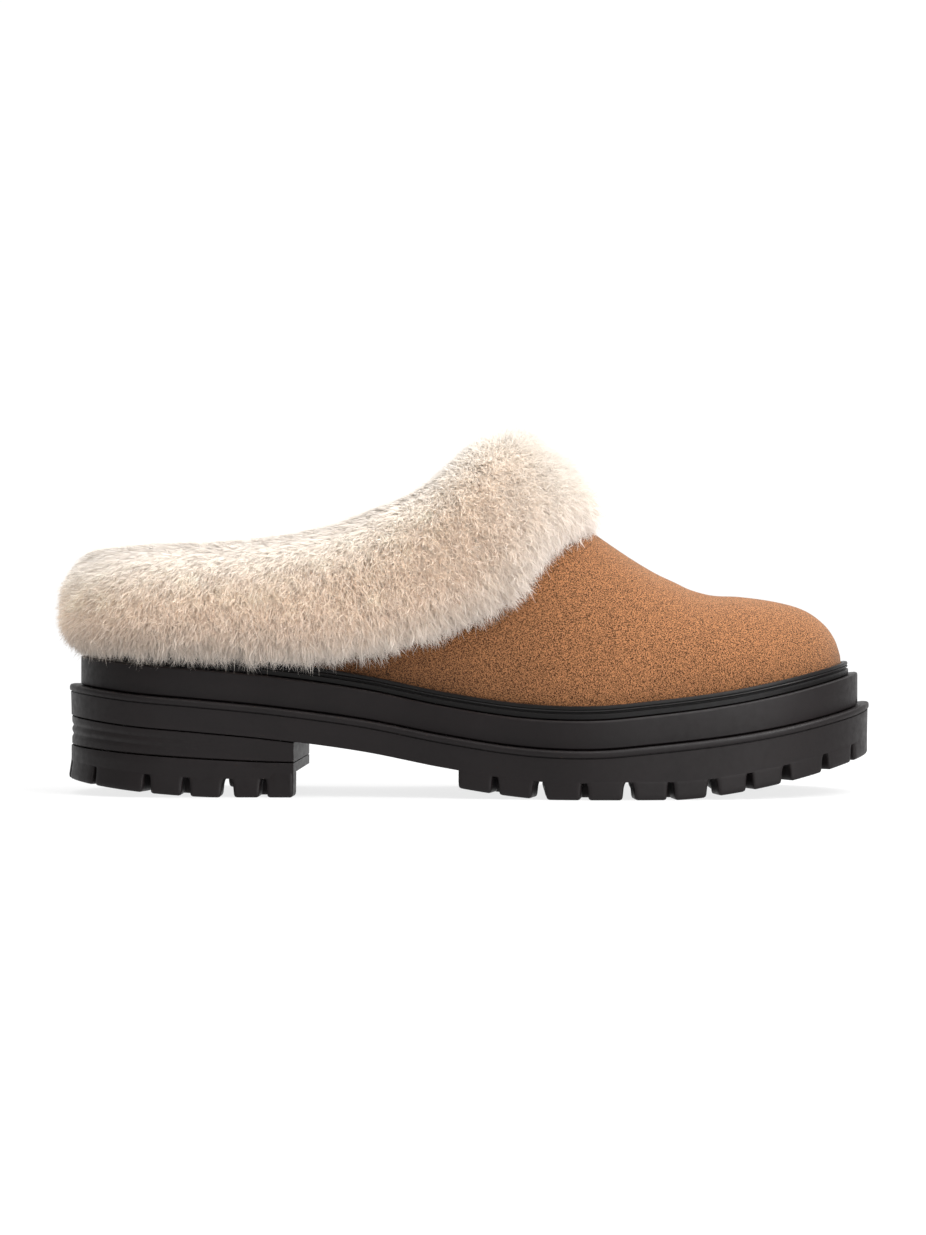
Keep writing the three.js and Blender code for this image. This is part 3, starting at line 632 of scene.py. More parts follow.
def heel_ring(inset, height, front):
    """Ring round the heel: the outline from back to front on both sides, and a straight line across."""
    fine = np.linspace(0, rim_turn(HEEL_FRONT) * 1.15, 400)
    sides = []
    for sign in (1, -1):
        turn = sign * fine
        x = outline(turn, inset(rim(turn)[0]))[0]
        reached = np.interp(front, x, fine)
        at = sign * reached * np.linspace(0, 1, 90) ** 0.9
        x, y, _, _ = outline(at, inset(rim(at)[0]))
        sides.append(np.stack((np.minimum(x, front), y), axis=-1))
    outer, inner = sides
    share = np.linspace(0, 1, 23)[1:-1, None]
    line = outer[-1] + (inner[-1] - outer[-1]) * share
    flat = np.concatenate((outer, line, inner[:0:-1]))
    return np.concatenate((flat, height(flat[:, :1] / SOLE_LENGTH)), axis=1)


def heel_bodies(sole):
    """Heel block with grooves that fade forwards, the top lift under it and the lift's lugs."""
    front = HEEL_FRONT * SOLE_LENGTH
    face = LIP_OVERHANG + 2 * DRAFT

    def block_top(s):
        return lip_top(s) - SLAB_THICKNESS - GAP

    def block_bottom(s):
        return lift_top(s) + GAP

    rings = []
    for up in np.concatenate(([0, 0.015, 0.04], np.linspace(0.07, 0.93, 28), [0.96, 0.985, 1])):
        groove = sum(math.exp(-(((1 - up) - rib) / RIB_WIDTH) ** 2) for rib in HEEL_RIBS)
        edge = 0.45 * MM * max(0.0, 1 - min(up, 1 - up) / 0.04) ** 2

        def inset(s, groove=groove, edge=edge):
            return face + edge + sole.rib_depth * groove * np.clip(1 - s / RIB_END, 0, 1) ** 0.7

        def height(s, up=up):
            return block_bottom(s) + (block_top(s) - block_bottom(s)) * up

        rings.append(heel_ring(inset, height, front))
    block = ring_solid(np.array(rings))

    def tread(s):
        breast = np.clip((s * SOLE_LENGTH - front + BREAST_STEP + 0.5 * MM) / (0.5 * MM), 0, 1)
        return heel_floor(s) + HEEL_LUG_HEIGHT + (BREAST_HEIGHT - HEEL_LUG_HEIGHT) * breast

    rings = []
    for up, edge in ((0, 0.0), (0.1, 0.0), (0.5, 0.0), (0.94, 0.0), (0.98, 0.1), (1, 0.4)):
        rings.append(heel_ring(
            lambda s, edge=edge: LIP_OVERHANG + DRAFT + edge * MM,
            lambda s, up=up: tread(s) + (lift_top(s) - tread(s)) * up, front))
    back = HEEL_FRONT - BREAST_STEP / SOLE_LENGTH
    lugs = lug_bodies(
        HEEL_NOTCHES, heel_floor, tread, {-1: HEEL_FRONT - 0.0005, 1: back},
        LIP_OVERHANG + DRAFT + LIFT_FLARE, sole.lug_round, False)
    return block, joined([ring_solid(np.array(rings)), *lugs])


def midsole_body():
    """Band above the outsole's lip, with rounded edges."""
    edge = LIP_LEDGE
    rows = (
        (edge + 0.35 * MM, lip_top, GAP),
        (edge, lip_top, GAP + 0.4 * MM),
        (edge, midsole_top, -0.9 * MM),
        (edge + 0.12 * MM, midsole_top, -0.4 * MM),
        (edge + 0.45 * MM, midsole_top, -0.1 * MM),
        (edge + 0.9 * MM, midsole_top, 0.0),
    )
    return joined([layer(rows, RIM_TURNS)])


def welt_body():
    """Closed strip round the foot of the upper; its outside has two rounded ridges over a flat foot."""
    edge = LIP_LEDGE + WELT_LEDGE
    inner = edge + UPPER_LEDGE - GAP
    profile = [
        (inner, 0.0), (edge + 0.15 * MM, 0.0), (edge, 0.04), (edge, 0.36), (edge + 0.3 * MM, 0.42),
        (edge + 0.75 * MM, 0.46), (edge + 0.75 * MM, 0.5), (edge + 0.3 * MM, 0.55), (edge + 0.2 * MM, 0.62),
        (edge + 0.35 * MM, 0.68), (edge + 0.6 * MM, 0.71), (edge + 0.3 * MM, 0.75), (edge + 0.25 * MM, 0.84),
        (edge + 0.45 * MM, 0.96), (edge + 0.9 * MM, 1.0), (inner, 1.0),
    ]
    rings = []
    for inset, up in profile:
        x, y, along, _ = outline(RIM_TURNS, inset)
        rings.append(np.stack((x, y, midsole_top(along) + GAP + WELT_HEIGHT * up), axis=-1))
    rings = np.array(rings)
    return joined([(rings.reshape(-1, 3), [quads(len(profile), len(RIM_TURNS), True, True)])])


def footbed_body():
    """Footbed plate with a rounded edge, slightly hollowed towards its middle."""
    turns = np.arange(400) / 400
    edge = UPPER_INSET + UPPER_WALL + GAP
    rows = [(edge, midsole_top, GAP), (edge, midsole_top, GAP + 0.6 * INSOLE_THICKNESS)]
    for inset in np.array((0.6, 1.6, 4, 9, 15)) * MM:
        rows.append((edge + inset, midsole_top, GAP + INSOLE_THICKNESS - 0.06 * inset))
    return joined([layer(rows, turns)])


# Upper

def last_point(turn, up_angle):
    """Point of the last: superelliptic sections stand on the inset outline and rise to the ridge, and the
    back of the heel leans forwards. The angle runs from 0 at the foot to a right angle at the ridge."""
    x0, y0, along, middle = outline(turn, UPPER_INSET)
    facing = outline(1 - turn, UPPER_INSET)[0]
    spine = (x0 + facing) / 2
    s = spine / SOLE_LENGTH
    power = column(RIDGE, "power", s)
    up = np.sin(up_angle) ** (2 / power)
    out = np.maximum(np.cos(up_angle), 0) ** (2 / power)
    low = midsole_top(along) + GAP
    ridge = np.maximum(INSTEP_HEIGHT * column(RIDGE, "height", s), midsole_top(s) + GAP + 1 * MM)
    centre = middle + BALL_WIDTH * column(RIDGE, "lean", s) * up
    back = np.maximum(0, 1 - s / HEEL_ROUND) ** 2 * HEEL_LEAN * up
    x = x0 + (spine - x0) * up + back
    return np.stack((x, centre + (y0 - middle) * out, low + (ridge - low) * up), axis=-1)


def collar_angle(turn):
    """Section angle at which the last reaches the collar line, found in a few steps; a right angle in front
    of the throat, where the upper is whole."""
    angle = np.full_like(turn, 1.0)
    x0, _, along, _ = outline(turn, UPPER_INSET)
    spine = (x0 + outline(1 - turn, UPPER_INSET)[0]) / 2
    s = spine / SOLE_LENGTH
    power = column(RIDGE, "power", s)
    low = midsole_top(along) + GAP
    ridge = INSTEP_HEIGHT * column(RIDGE, "height", s)
    for _ in range(6):
        place = last_point(turn, angle)[:, 0] / SOLE_LENGTH
        up = np.clip((COLLAR_HEIGHT * column(COLLAR, "height", place) - low) / (ridge - low), 0, 1)
        angle = np.arcsin(up ** (power / 2))
    return np.where(s >= THROAT, np.pi / 2, angle)


def upper_body(creases):
    """Outer surface of the upper from the welt to the collar, with soft creases pressed in at listed places,
    and
    painted light at each point: painted shade along the welt and under the cuff, a painted highlight on the
    toe."""
    turns = np.arange(440) / 440
    top = collar_angle(turns)
    shares = np.linspace(0, 1, 48) ** 0.85
    rings = np.array([last_point(turns, top * share) for share in shares])
    place = rings[..., 0] / SOLE_LENGTH
    up = np.broadcast_to(shares[:, None], place.shape)
    depth = np.zeros_like(place)
    for along, high, half_along, half_up, mm in CREASES:
        depth += mm * MM * np.exp(-((place - along) / half_along) ** 2 - ((up - high) / half_up) ** 2)
    centre = np.array((0.55 * SOLE_LENGTH, 0.0, 0.35 * HEEL_STACK))
    away = rings - centre
    away /= np.linalg.norm(away, axis=-1, keepdims=True)
    rings -= away * (depth * creases)[..., None]
    low = rings[:1, :, 2]
    above = (rings[..., 2] - low) / MM
    rear = np.clip((0.62 - place) / 0.25, 0, 1)
    # painted shade: darker just above the welt, where the upper meets the sole, and low towards the heel
    # under the cuff
    painted_light = 1 - 0.3 * np.exp(-(above / 9) ** 2) - 0.38 * rear * np.exp(-(above / 30) ** 2)
    # painted highlight on the top of the toe
    painted_light = (painted_light + 0.12 * np.exp(-((place - 0.84) / 0.12) ** 2 - ((up - 0.8) / 0.35) ** 2)).reshape(-1)
    points = rings.reshape(-1, 3)
    faces = quads(len(shares), len(turns), wrap_columns=True)
    keys = np.round(points / (0.01 * MM)).astype(np.int64)
    _, first, index = np.unique(keys, axis=0, return_index=True, return_inverse=True)
    faces = index.ravel()[faces]
    following = np.roll(faces, -1, axis=1)
    crossed = (faces[:, 0] == faces[:, 2]) | (faces[:, 1] == faces[:, 3])
    kept = faces[(faces != following).all(axis=1) & ~crossed]
    folded = faces[(faces == following).sum(axis=1) == 1]
    same = np.argmax(folded == np.roll(folded, -1, axis=1), axis=1)
    triangles = np.take_along_axis(folded, (same[:, None] + np.array((1, 2, 3))) % 4, axis=1)
    return (points[first], outward(points[first], [kept, triangles])), painted_light[first]


# Cuff

def collar_loop(count):
    """Evenly spaced points of the collar edge over the last, smoothed, starting at the heel: the outer side
    first, the throat half way, then the inner side."""
    q = (1 - np.cos(np.linspace(0, np.pi, 161))) / 2
    fine = np.linspace(0, 0.5, 2001)
    sides = []
    for sign in (1, -1):
        _, y0, along, middle = outline(sign * fine, UPPER_INSET)
        s = along[0] + (THROAT - along[0]) * q
        y = np.interp(s, along, y0)
        centre = np.interp(s, along, middle)
        power = column(RIDGE, "power", s)
        low = midsole_top(s) + GAP
        ridge = INSTEP_HEIGHT * column(RIDGE, "height", s)
        z = np.minimum(COLLAR_HEIGHT * column(COLLAR, "height", s), ridge)
        up = (z - low) / (ridge - low)
        out = np.maximum(0, 1 - up**power) ** (1 / power)
        lean = BALL_WIDTH * column(RIDGE, "lean", s) * up
        back = np.maximum(0, 1 - s / HEEL_ROUND) ** 2 * HEEL_LEAN * up
        sides.append(np.stack((s * SOLE_LENGTH + back, centre + lean + (y - centre) * out, z), axis=-1))
    path = np.concatenate((sides[0], sides[1][-2:0:-1]))
    for spacing in (count, count):
        closed = np.concatenate((path, path[:1]))
        run = np.concatenate(([0], np.cumsum(np.linalg.norm(np.diff(closed, axis=0), axis=1))))
        at = np.linspace(0, run[-1], spacing, endpoint=False)
        path = np.stack([np.interp(at, run, closed[:, k]) for k in range(3)], axis=-1)
        reach = 0.011 * count
        offset = np.minimum(np.arange(count), count - np.arange(count))
        kernel = np.exp(-0.5 * (offset / reach) ** 2)
        kernel /= kernel.sum()
        path = np.fft.ifft(np.fft.fft(path, axis=0) * np.fft.fft(kernel)[:, None], axis=0).real
    return path, float(run[-1])


LOOP_COUNT = 720
LOOP, LOOP_LENGTH = collar_loop(LOOP_COUNT)


def loop_frames():
    """Outward normal, direction up the wall and place round the cuff for each point of the collar loop."""
    tangent = np.roll(LOOP, -1, axis=0) - np.roll(LOOP, 1, axis=0)
    tangent /= np.linalg.norm(tangent, axis=1, keepdims=True)
    throat = int(np.argmax(LOOP[:, 0]))
    around = np.abs(np.arange(LOOP_COUNT) - throat) / (LOOP_COUNT / 2)
    around = np.where(around > 1, 2 - around, around)
    flat = np.stack((tangent[:, 1], -tangent[:, 0], np.zeros(LOOP_COUNT)), axis=-1)
    flat /= np.linalg.norm(flat, axis=1, keepdims=True)
    tilt = np.radians(column(CUFF, "tilt", around))[:, None]
    normal = flat * np.cos(tilt) + np.array((0, 0, 1)) * np.sin(tilt)
    normal -= tangent * np.einsum("ij,ij->i", normal, tangent)[:, None]
    normal /= np.linalg.norm(normal, axis=1, keepdims=True)
    rise = -np.cross(normal, tangent)
    rise *= np.where(rise[:, 2:] < 0, -1, 1)
    return normal, rise, around


LOOP_NORMAL, LOOP_RISE, LOOP_AROUND = loop_frames()


def cuff_point(place, angle, wool):
    """Point of the cuff's surface at a share of the loop and an angle round the section in radians. The
    section is four superelliptic quarters: over and under the belly outside, and up and down inside."""
    at = np.mod(place, 1.0) * LOOP_COUNT
    i = np.floor(at).astype(int) % LOOP_COUNT
    j = (i + 1) % LOOP_COUNT
    u = (at - np.floor(at))[..., None]
    point = LOOP[i] * (1 - u) + LOOP[j] * u
    normal = LOOP_NORMAL[i] * (1 - u) + LOOP_NORMAL[j] * u
    rise = LOOP_RISE[i] * (1 - u) + LOOP_RISE[j] * u
    around = LOOP_AROUND[i] * (1 - u[..., 0]) + LOOP_AROUND[j] * u[..., 0]
    drop = CUFF_DROP * column(CUFF, "drop", around)
    belly = column(CUFF, "belly", around) * drop
    c = np.cos(angle)
    s = np.sin(angle)
    shrink = wool.skin_depth * (1 - 0.7 * np.clip(s, 0, 1))
    high = CUFF_RISE * column(CUFF, "rise", around) - shrink
    out = CUFF_OUTSIDE * column(CUFF, "out", around) - shrink
    inside = UPPER_WALL + CUFF_INSIDE - 0.5 * shrink
    rounding = column(CUFF, "round", around)
    outer = c >= 0
    width = np.where(outer, out, inside)
    base = np.where(outer, -belly, 0)
    reach = np.where(
        s >= 0, np.where(outer, high + belly, high),
        np.where(outer, drop - wool.hem - belly, INNER_CUFF_DEPTH - shrink))
    across = np.sign(c) * np.abs(c) ** rounding * width
    along = base + np.sign(s) * np.abs(s) ** rounding * reach
    return point + normal * across[..., None] + rise * along[..., None], point


def skin_body(wool):
    """Skin under the wool: the cuff's sections, from the lower edge outside over the top to the inside."""
    place = np.arange(320) / 320
    angle = np.radians(np.linspace(-90, 269, 65))
    grid_angle, grid_place = np.meshgrid(angle, place, indexing="ij")
    points = cuff_point(grid_place, grid_angle, wool)[0]
    faces = quads(len(angle), len(place), True, True)
    return points.reshape(-1, 3), outward(points.reshape(-1, 3), [faces])


def wool_colour(place, angle, rng):
    """Linear colour of the wool from its angle round the section, more even and neutral at the throat as
    painted light of the lit front, and darker low at the heel as painted shade, with a small change from hair
    to hair."""
    degrees = np.degrees(angle)
    srgb = np.stack([column(WOOL_AND_PAINTED_LIGHT, key, degrees) for key in ("red", "green", "blue")], axis=-1)
    around = np.interp(np.mod(place, 1.0) * LOOP_COUNT, np.arange(LOOP_COUNT), LOOP_AROUND)
    # painted light at the throat: the colour is drawn towards an even, neutral pale tone for the light on the
    # front bulge
    front = (np.exp(-(around / 0.15) ** 2) * np.clip((degrees + 80) / 60, 0, 1))[:, None]
    srgb += (np.array((0.915, 0.905, 0.888)) - srgb) * 0.8 * front
    # painted shade: darker low on the wool towards the heel
    rear = (np.clip((around - 0.45) / 0.3, 0, 1) * np.clip((10 - degrees) / 50, 0, 1))[:, None]
    srgb -= 0.085 * rear
    srgb = srgb + rng.normal(0, 0.012, (len(angle), 1))
    return np.clip(srgb, 0, 1) ** 2.2


def blades(root, directions, side, lengths, width, taper):
    """Hairs as flat tapering blades: each follows its directions in equal steps, two points at every step and
    one at the tip. Returns points and faces."""
    count = len(root)
    steps = len(directions)
    spine = [root]
    for direction in directions:
        spine.append(spine[-1] + direction * (lengths / steps)[:, None])
    rows = []
    for k in range(steps):
        half = side * (width * taper[k] / 2)[:, None]
        rows += [spine[k] - half, spine[k] + half]
    rows.append(spine[-1])
    points = np.stack(rows, axis=1)
    each = points.shape[1]
    base = np.arange(count)[:, None] * each
    strips = np.array([(2 * k, 2 * k + 1, 2 * k + 3, 2 * k + 2) for k in range(steps - 1)])
    tip = np.array(((each - 3, each - 2, each - 1),))
    faces = [(base[:, None] + strips[None]).reshape(-1, 4), (base[:, None] + tip[None]).reshape(-1, 3)]
    return points.reshape(-1, 3), [group for group in faces if len(group)]


def unit(vectors):
    """Vectors of length one."""
    return vectors / np.maximum(np.linalg.norm(vectors, axis=-1, keepdims=True), 1e-9)


def wool_roots(wool, rng, count):
    """Roots of hairs spread by area over the skin and thinner inside the cuff: places round the loop, angles
    round the section, and how far inside each one is from 0 to 1."""
    cells_place, cells_angle = 720, 240
    place = (np.arange(cells_place) + 0.5) / cells_place
    angle = np.radians(FIRST_HAIR + (np.arange(cells_angle) + 0.5) / cells_angle * HAIR_SWEEP)
    grid_angle, grid_place = np.meshgrid(angle, place, indexing="ij")
    points = cuff_point(grid_place, grid_angle, wool)[0]
    step_angle = np.linalg.norm(np.gradient(points, axis=0), axis=-1)
    step_place = np.linalg.norm(np.gradient(points, axis=1), axis=-1)
    inside = np.clip((np.degrees(grid_angle) - 110) / 60, 0, 1)
    weight = (step_angle * step_place * (1 - INNER_THINNING * inside)).ravel()
    chosen = rng.choice(weight.size, size=count, p=weight / weight.sum())
    angles = grid_angle.ravel()[chosen] + (rng.random(count) - 0.5) * np.radians(HAIR_SWEEP / cells_angle)
    places = grid_place.ravel()[chosen] + (rng.random(count) - 0.5) / cells_place
    return places, angles, inside.ravel()[chosen]


def tuft_leans(place, angle, wool, rng):
    """Tuft that each hair belongs to: cells of the skin with a little spill over their borders. Returns four
    random numbers of the hair's tuft and the way from the hair to the tuft's middle, in tufts."""
    cell = np.stack((place * LOOP_LENGTH / TUFT, angle * SECTION_RADIUS / TUFT), axis=-1)
    cell = cell + rng.normal(0, 0.16, (len(place), 2))
    corner = np.floor(cell).astype(np.int64)
    kinds = np.random.default_rng(wool.seed + 50).normal(0, 1, (TUFT_KINDS, 4))
    return kinds[np.abs(corner @ TUFT_PRIMES) % TUFT_KINDS], corner + 0.5 - cell


def wool_patch(wool, rng, count):
    """Hairs of one patch of the cuff and a colour for each of their points. They leave the skin steeply and
    bend down along the section, away from a parting on the top, where they are short and combed to the heel.
    They lean in small tufts, each one curls its own way, and those of the lower edge have pale tips."""
    place, angle, inside = wool_roots(wool, rng, count)
    root, edge_point = cuff_point(place, angle, wool)
    d_angle = unit(cuff_point(place, angle + 0.01, wool)[0] - root)
    d_place = unit(cuff_point(place + 0.001, angle, wool)[0] - root)
    normal = unit(np.cross(d_place, d_angle))
    normal *= np.sign(np.einsum("ij,ij->i", normal, root - edge_point))[:, None]
    down = -d_angle * np.tanh((np.radians(PARTING) - angle) / np.radians(PARTING_TURN))[:, None]
    edge = np.clip((np.radians(-25) - angle) / np.radians(50), 0, 1)
    top = np.clip((angle - np.radians(10)) / np.radians(50), 0, 1)
    comb = np.array((-1.0, 0.0, 0.0)) + normal * normal[:, 0:1]
    tuft, to_middle = tuft_leans(place, angle, wool, rng)
    pull = to_middle * (TUFT / wool.hair_length * (0.25 + 1.1 * edge))[:, None]
    lean = (0.12 * tuft[:, 0:1] + pull[:, 0:1]) * d_place + (0.1 * tuft[:, 1:2] + pull[:, 1:2]) * d_angle
    lean += rng.normal(0, 0.2, (count, 1)) * d_place + rng.normal(0, 0.18, (count, 1)) * d_angle
    lean *= (0.7 + 0.5 * edge)[:, None] * (1 - 0.4 * top)[:, None]
    uneven = 1 + (0.04 + 0.18 * edge) * tuft[:, 2] + (0.09 + 0.14 * edge) * rng.normal(0, 1, count)
    lengths = wool.hair_length * np.clip(uneven, 0.45, 1.45)
    lengths *= (1 - 0.25 * inside) * (1 - 0.32 * top)
    directions = []
    for rise, fall, curl in HAIR_PIECES:
        stand = rise * ((1 - 0.5 * edge) * (1 - 0.3 * top))[:, None]
        sweep = fall * (1 + 0.7 * edge)[:, None]
        bend = (curl * (1 - 0.65 * top))[:, None] * rng.normal(0, 1, (count, 3))
        bend += comb * (0.75 * top)[:, None]
        directions.append(unit(normal * stand + down * sweep + lean * (1.6 - rise) + bend))
    twist = (0.9 - 0.75 * top)[:, None] * rng.normal(0, 1, (count, 3))
    side = unit(np.cross(directions[1], normal) + twist)
    width = wool.hair_width * np.exp(rng.normal(0, 0.25, count)) * (1 - 0.25 * edge)
    body = blades(root, directions, side, lengths, width, HAIR_TAPER)
    colour = wool_colour(place, angle, rng) * (1 + 0.02 * tuft[:, 3:4])
    # painted shade at the roots and a slight painted highlight at the tips of each hair
    shade = np.array((0.98, 0.98, 1.0, 1.0, 1.03))
    rgba = np.ones((count, 5, 4))
    rgba[..., :3] = np.clip(colour[:, None, :] * shade[None, :, None], 0, 1)
    pale = (0.55 * edge)[:, None, None] * np.array((0.0, 0.0, 0.6, 0.6, 1.0))[None, :, None]
    rgba[..., :3] += (PALE_TIP - rgba[..., :3]) * pale
    return body, rgba.reshape(-1, 4)


def footbed_pile(wool, rng):
    """Short pile over the footbed: hairs stand on its top face and lean every way."""
    count = wool.pile
    edge = UPPER_INSET + UPPER_WALL + 2 * MM
    share = np.sqrt(rng.random(count))
    turn = rng.random(count)
    x, rim_y, along, middle = outline(turn, edge)
    height = midsole_top(along) + GAP + INSOLE_THICKNESS - 0.8 * MM
    root = np.stack((x, middle + (rim_y - middle) * share, height), axis=-1)
    up = np.array((0.0, 0.0, 1.0))
    lean = np.concatenate((rng.normal(0, 0.5, (count, 2)), np.zeros((count, 1))), axis=1)
    directions = [unit(up + 0.5 * lean), unit(0.7 * up + lean)]
    side = unit(np.cross(directions[1], rng.normal(0, 1, (count, 3))))
    lengths = 4 * MM * (1 + rng.normal(0, 0.15, count))
    return blades(root, directions, side, lengths, np.full(count, wool.hair_width * 1.4), (1.0, 0.7))


# Materials

def new_material(name, **values):
    """Material with one Principled shader, whose sockets take the values given by name."""
    material = bpy.data.materials.new(name)
    material.use_nodes = True
    shader = material.node_tree.nodes["Principled BSDF"]
    for socket, value in values.items():
        shader.inputs[socket.replace("_", " ")].default_value = value
    return material, material.node_tree, shader


def noise(tree, scale, detail=4.0, roughness=0.6):
    """Noise texture on object coordinates."""
    coordinates = tree.nodes.new("ShaderNodeTexCoord")
    texture = tree.nodes.new("ShaderNodeTexNoise")
    texture.inputs["Scale"].default_value = scale
    texture.inputs["Detail"].default_value = detail
    texture.inputs["Roughness"].default_value = roughness
    tree.links.new(coordinates.outputs["Object"], texture.inputs["Vector"])
    return texture.outputs["Fac"]


def ramp(tree, factor, stops):
    """Colour ramp over a factor: stops are a place and a colour each."""
    node = tree.nodes.new("ShaderNodeValToRGB")
    elements = node.color_ramp.elements
    while len(elements) < len(stops):
        elements.new(0.5)
    for element, (place, colour) in zip(elements, stops):
        element.position = place
        element.color = (*colour[:3], 1)
    tree.links.new(factor, node.inputs["Fac"])
    return node.outputs["Color"]


def mottled(tree, shader, colour, source, low, high):
    """Gives a shader a colour that is darker and lighter in clouds, following a noise."""
    stops = ((0.3, scaled(colour, low)), (0.7, scaled(colour, high)))
    tree.links.new(ramp(tree, source, stops), shader.inputs["Base Color"])


def blend_colour(tree, kind, factor, first, second):
    """Mix of two colours; the factor is a number or a socket."""
    node = tree.nodes.new("ShaderNodeMix")
    node.data_type = "RGBA"
    node.blend_type = kind
    slots = {s.identifier: s for s in node.inputs}
    for key, value in (("Factor_Float", factor), ("A_Color", first), ("B_Color", second)):
        if isinstance(value, bpy.types.NodeSocket):
            tree.links.new(value, slots[key])
        else:
            slots[key].default_value = value
    return next(s for s in node.outputs if s.identifier == "Result_Color")


def bump(tree, shader, height, strength, distance, below=None):
    """Bump from a height; another bump may lie under it."""
    node = tree.nodes.new("ShaderNodeBump")
    node.inputs["Strength"].default_value = strength
    node.inputs["Distance"].default_value = distance
    tree.links.new(height, node.inputs["Height"])
    if below:
        tree.links.new(below, node.inputs["Normal"])
    tree.links.new(node.outputs["Normal"], shader.inputs["Normal"])
    return node.outputs["Normal"]


def grey(value):
    """Grey of one value."""
    return (value, value, value)


def scaled(colour, by):
    """Colour made lighter or darker."""
    return tuple(min(1.0, c * by) for c in colour[:3])


def rubber_material(name, colour, roughness):
    """Moulded rubber: nearly even dark colour, cloudy gloss and a very fine grain."""
    material, tree, shader = new_material(name, Roughness=roughness, Specular_IOR_Level=0.25)
    mottled(tree, shader, colour, noise(tree, scale=60, detail=3), 0.85, 1.2)
    gloss = ((0.3, grey(roughness - 0.07)), (0.7, grey(roughness + 0.1)))
    tree.links.new(ramp(tree, noise(tree, scale=420), gloss), shader.inputs["Roughness"])
    bump(tree, shader, noise(tree, scale=2600, detail=3), strength=0.12, distance=0.0002)
    return material


def suede_material(upper):
    """Napped suede: clouds where the nap lies two ways, fine light and dark specks, soft sheen."""
    material, tree, shader = new_material(
        "suede", Roughness=0.92, Sheen_Weight=0.16, Sheen_Roughness=0.45, Specular_IOR_Level=0.2)
    shader.inputs["Sheen Tint"].default_value = (1.0, 0.82, 0.66, 1)
    cloud = noise(tree, scale=34, detail=3, roughness=0.55)
    clouds = ramp(tree, cloud, ((0.3, grey(0.38)), (0.7, grey(0.62))))
    grain = noise(tree, scale=3100, detail=1, roughness=0.7)
    specks = ramp(tree, grain, ((0.455, grey(0.0)), (0.545, grey(1.0))))
    mixed = blend_colour(tree, "MIX", 0.8, clouds, specks)
    colour = ramp(tree, mixed, ((0.12, tuple(upper.dark)), (0.88, tuple(upper.light))))
    # the suede colour is multiplied by the upper's painted light: painted shade along the welt and under the
    # cuff, a painted highlight on the toe
    attribute = tree.nodes.new("ShaderNodeAttribute")
    attribute.attribute_name = "coat"
    painted_light = blend_colour(tree, "MULTIPLY", 1.0, colour, attribute.outputs["Color"])
    tree.links.new(painted_light, shader.inputs["Base Color"])
    low = bump(tree, shader, noise(tree, scale=130, detail=3), strength=0.18, distance=0.0008)
    nap = noise(tree, scale=1900, detail=3, roughness=0.7)
    bump(tree, shader, nap, strength=0.75, distance=0.0003, below=low)
    return material


def wool_material():
    """Wool: each hair's own colour from its mesh, soft and rough, with a pale sheen; part of the light goes
    through, as it does through fine hairs."""
    material, tree, shader = new_material(
        "shearling", Roughness=0.9, Sheen_Weight=0.25, Sheen_Roughness=0.5, Specular_IOR_Level=0.1)
    attribute = tree.nodes.new("ShaderNodeAttribute")
    attribute.attribute_name = "coat"
    through = tree.nodes.new("ShaderNodeBsdfTranslucent")
    tree.links.new(attribute.outputs["Color"], shader.inputs["Base Color"])
    tree.links.new(attribute.outputs["Color"], through.inputs["Color"])
    mix = tree.nodes.new("ShaderNodeMixShader")
    mix.inputs["Fac"].default_value = 0.42
    tree.links.new(shader.outputs["BSDF"], mix.inputs[1])
    tree.links.new(through.outputs["BSDF"], mix.inputs[2])
    tree.links.new(mix.outputs["Shader"], tree.nodes["Material Output"].inputs["Surface"])
    return material


def fleece_material(name, colour, shade=0.72, relief=0.8):
    """Skin or lining under wool: mottled, with a curly relief; shade is the darkest share of the colour."""
    material, tree, shader = new_material(name, Roughness=0.95, Sheen_Weight=0.2, Specular_IOR_Level=0.1)
    curls = noise(tree, scale=420, roughness=0.65)
    mottled(tree, shader, colour, curls, shade, 1.08)
    bump(tree, shader, curls, strength=relief, distance=0.0012)
    return material


def floor_material(colour, glow):
    """Studio paper lit from behind: one pale tone with the faintest mottle, and soft faint shadows."""
    material, tree, shader = new_material(
        "studio_paper", Roughness=0.9, Specular_IOR_Level=0.1, Emission_Strength=glow)
    shader.inputs["Emission Color"].default_value = (1, 1, 1, 1)
    mottled(tree, shader, colour, noise(tree, scale=6, detail=2), 0.995, 1.005)
    return material


def set_coat(piece, rgba):
    """Writes a colour into the piece's own point attribute."""
    attribute = piece.data.color_attributes.new("coat", "FLOAT_COLOR", "POINT")
    attribute.data.foreach_set("color", rgba.astype(np.float32).ravel())


# Stage

def floor_body():
    """Studio paper: a level sheet that bends up into an upright one far behind the shoe."""
    bend = 1.2
    angle = np.linspace(0, np.pi / 2, 24)
    depth = np.concatenate(([-8.0], 2.0 + bend * np.sin(angle), [2.0 + bend]))
    height = np.concatenate(([0.0], bend * (1 - np.cos(angle)), [4.0]))
    width = np.linspace(-8, 8, 11)
    axes = np.broadcast_arrays(width[None, :], depth[:, None], height[:, None])
    return np.stack(axes, axis=-1).reshape(-1, 3), quads(len(depth), len(width))


def aimed(name, data, place, aim):
    """Object of a lamp or camera that stands at one point and looks at another."""
    thing = bpy.data.objects.new(name, data)
    thing.location = place
    thing.rotation_mode = "QUATERNION"
    thing.rotation_quaternion = (Vector(aim) - Vector(place)).to_track_quat("-Z", "Y")
    bpy.context.scene.collection.objects.link(thing)
    return thing


# Operators

class SLIPPER_OT_outsole(Operator):
    """Builds the outsole slab with its lip and forefoot lugs"""

    bl_idname = "slipper.outsole"
    bl_label = "Outsole"

    def execute(self, context):
        sole = context.scene.slipper_sole
        rubber = rubber_material("sole_rubber", sole.colour, sole.roughness)
        new_piece("outsole_rubber", outsole_body(sole), rubber, ("outsole",))
        return {"FINISHED"}


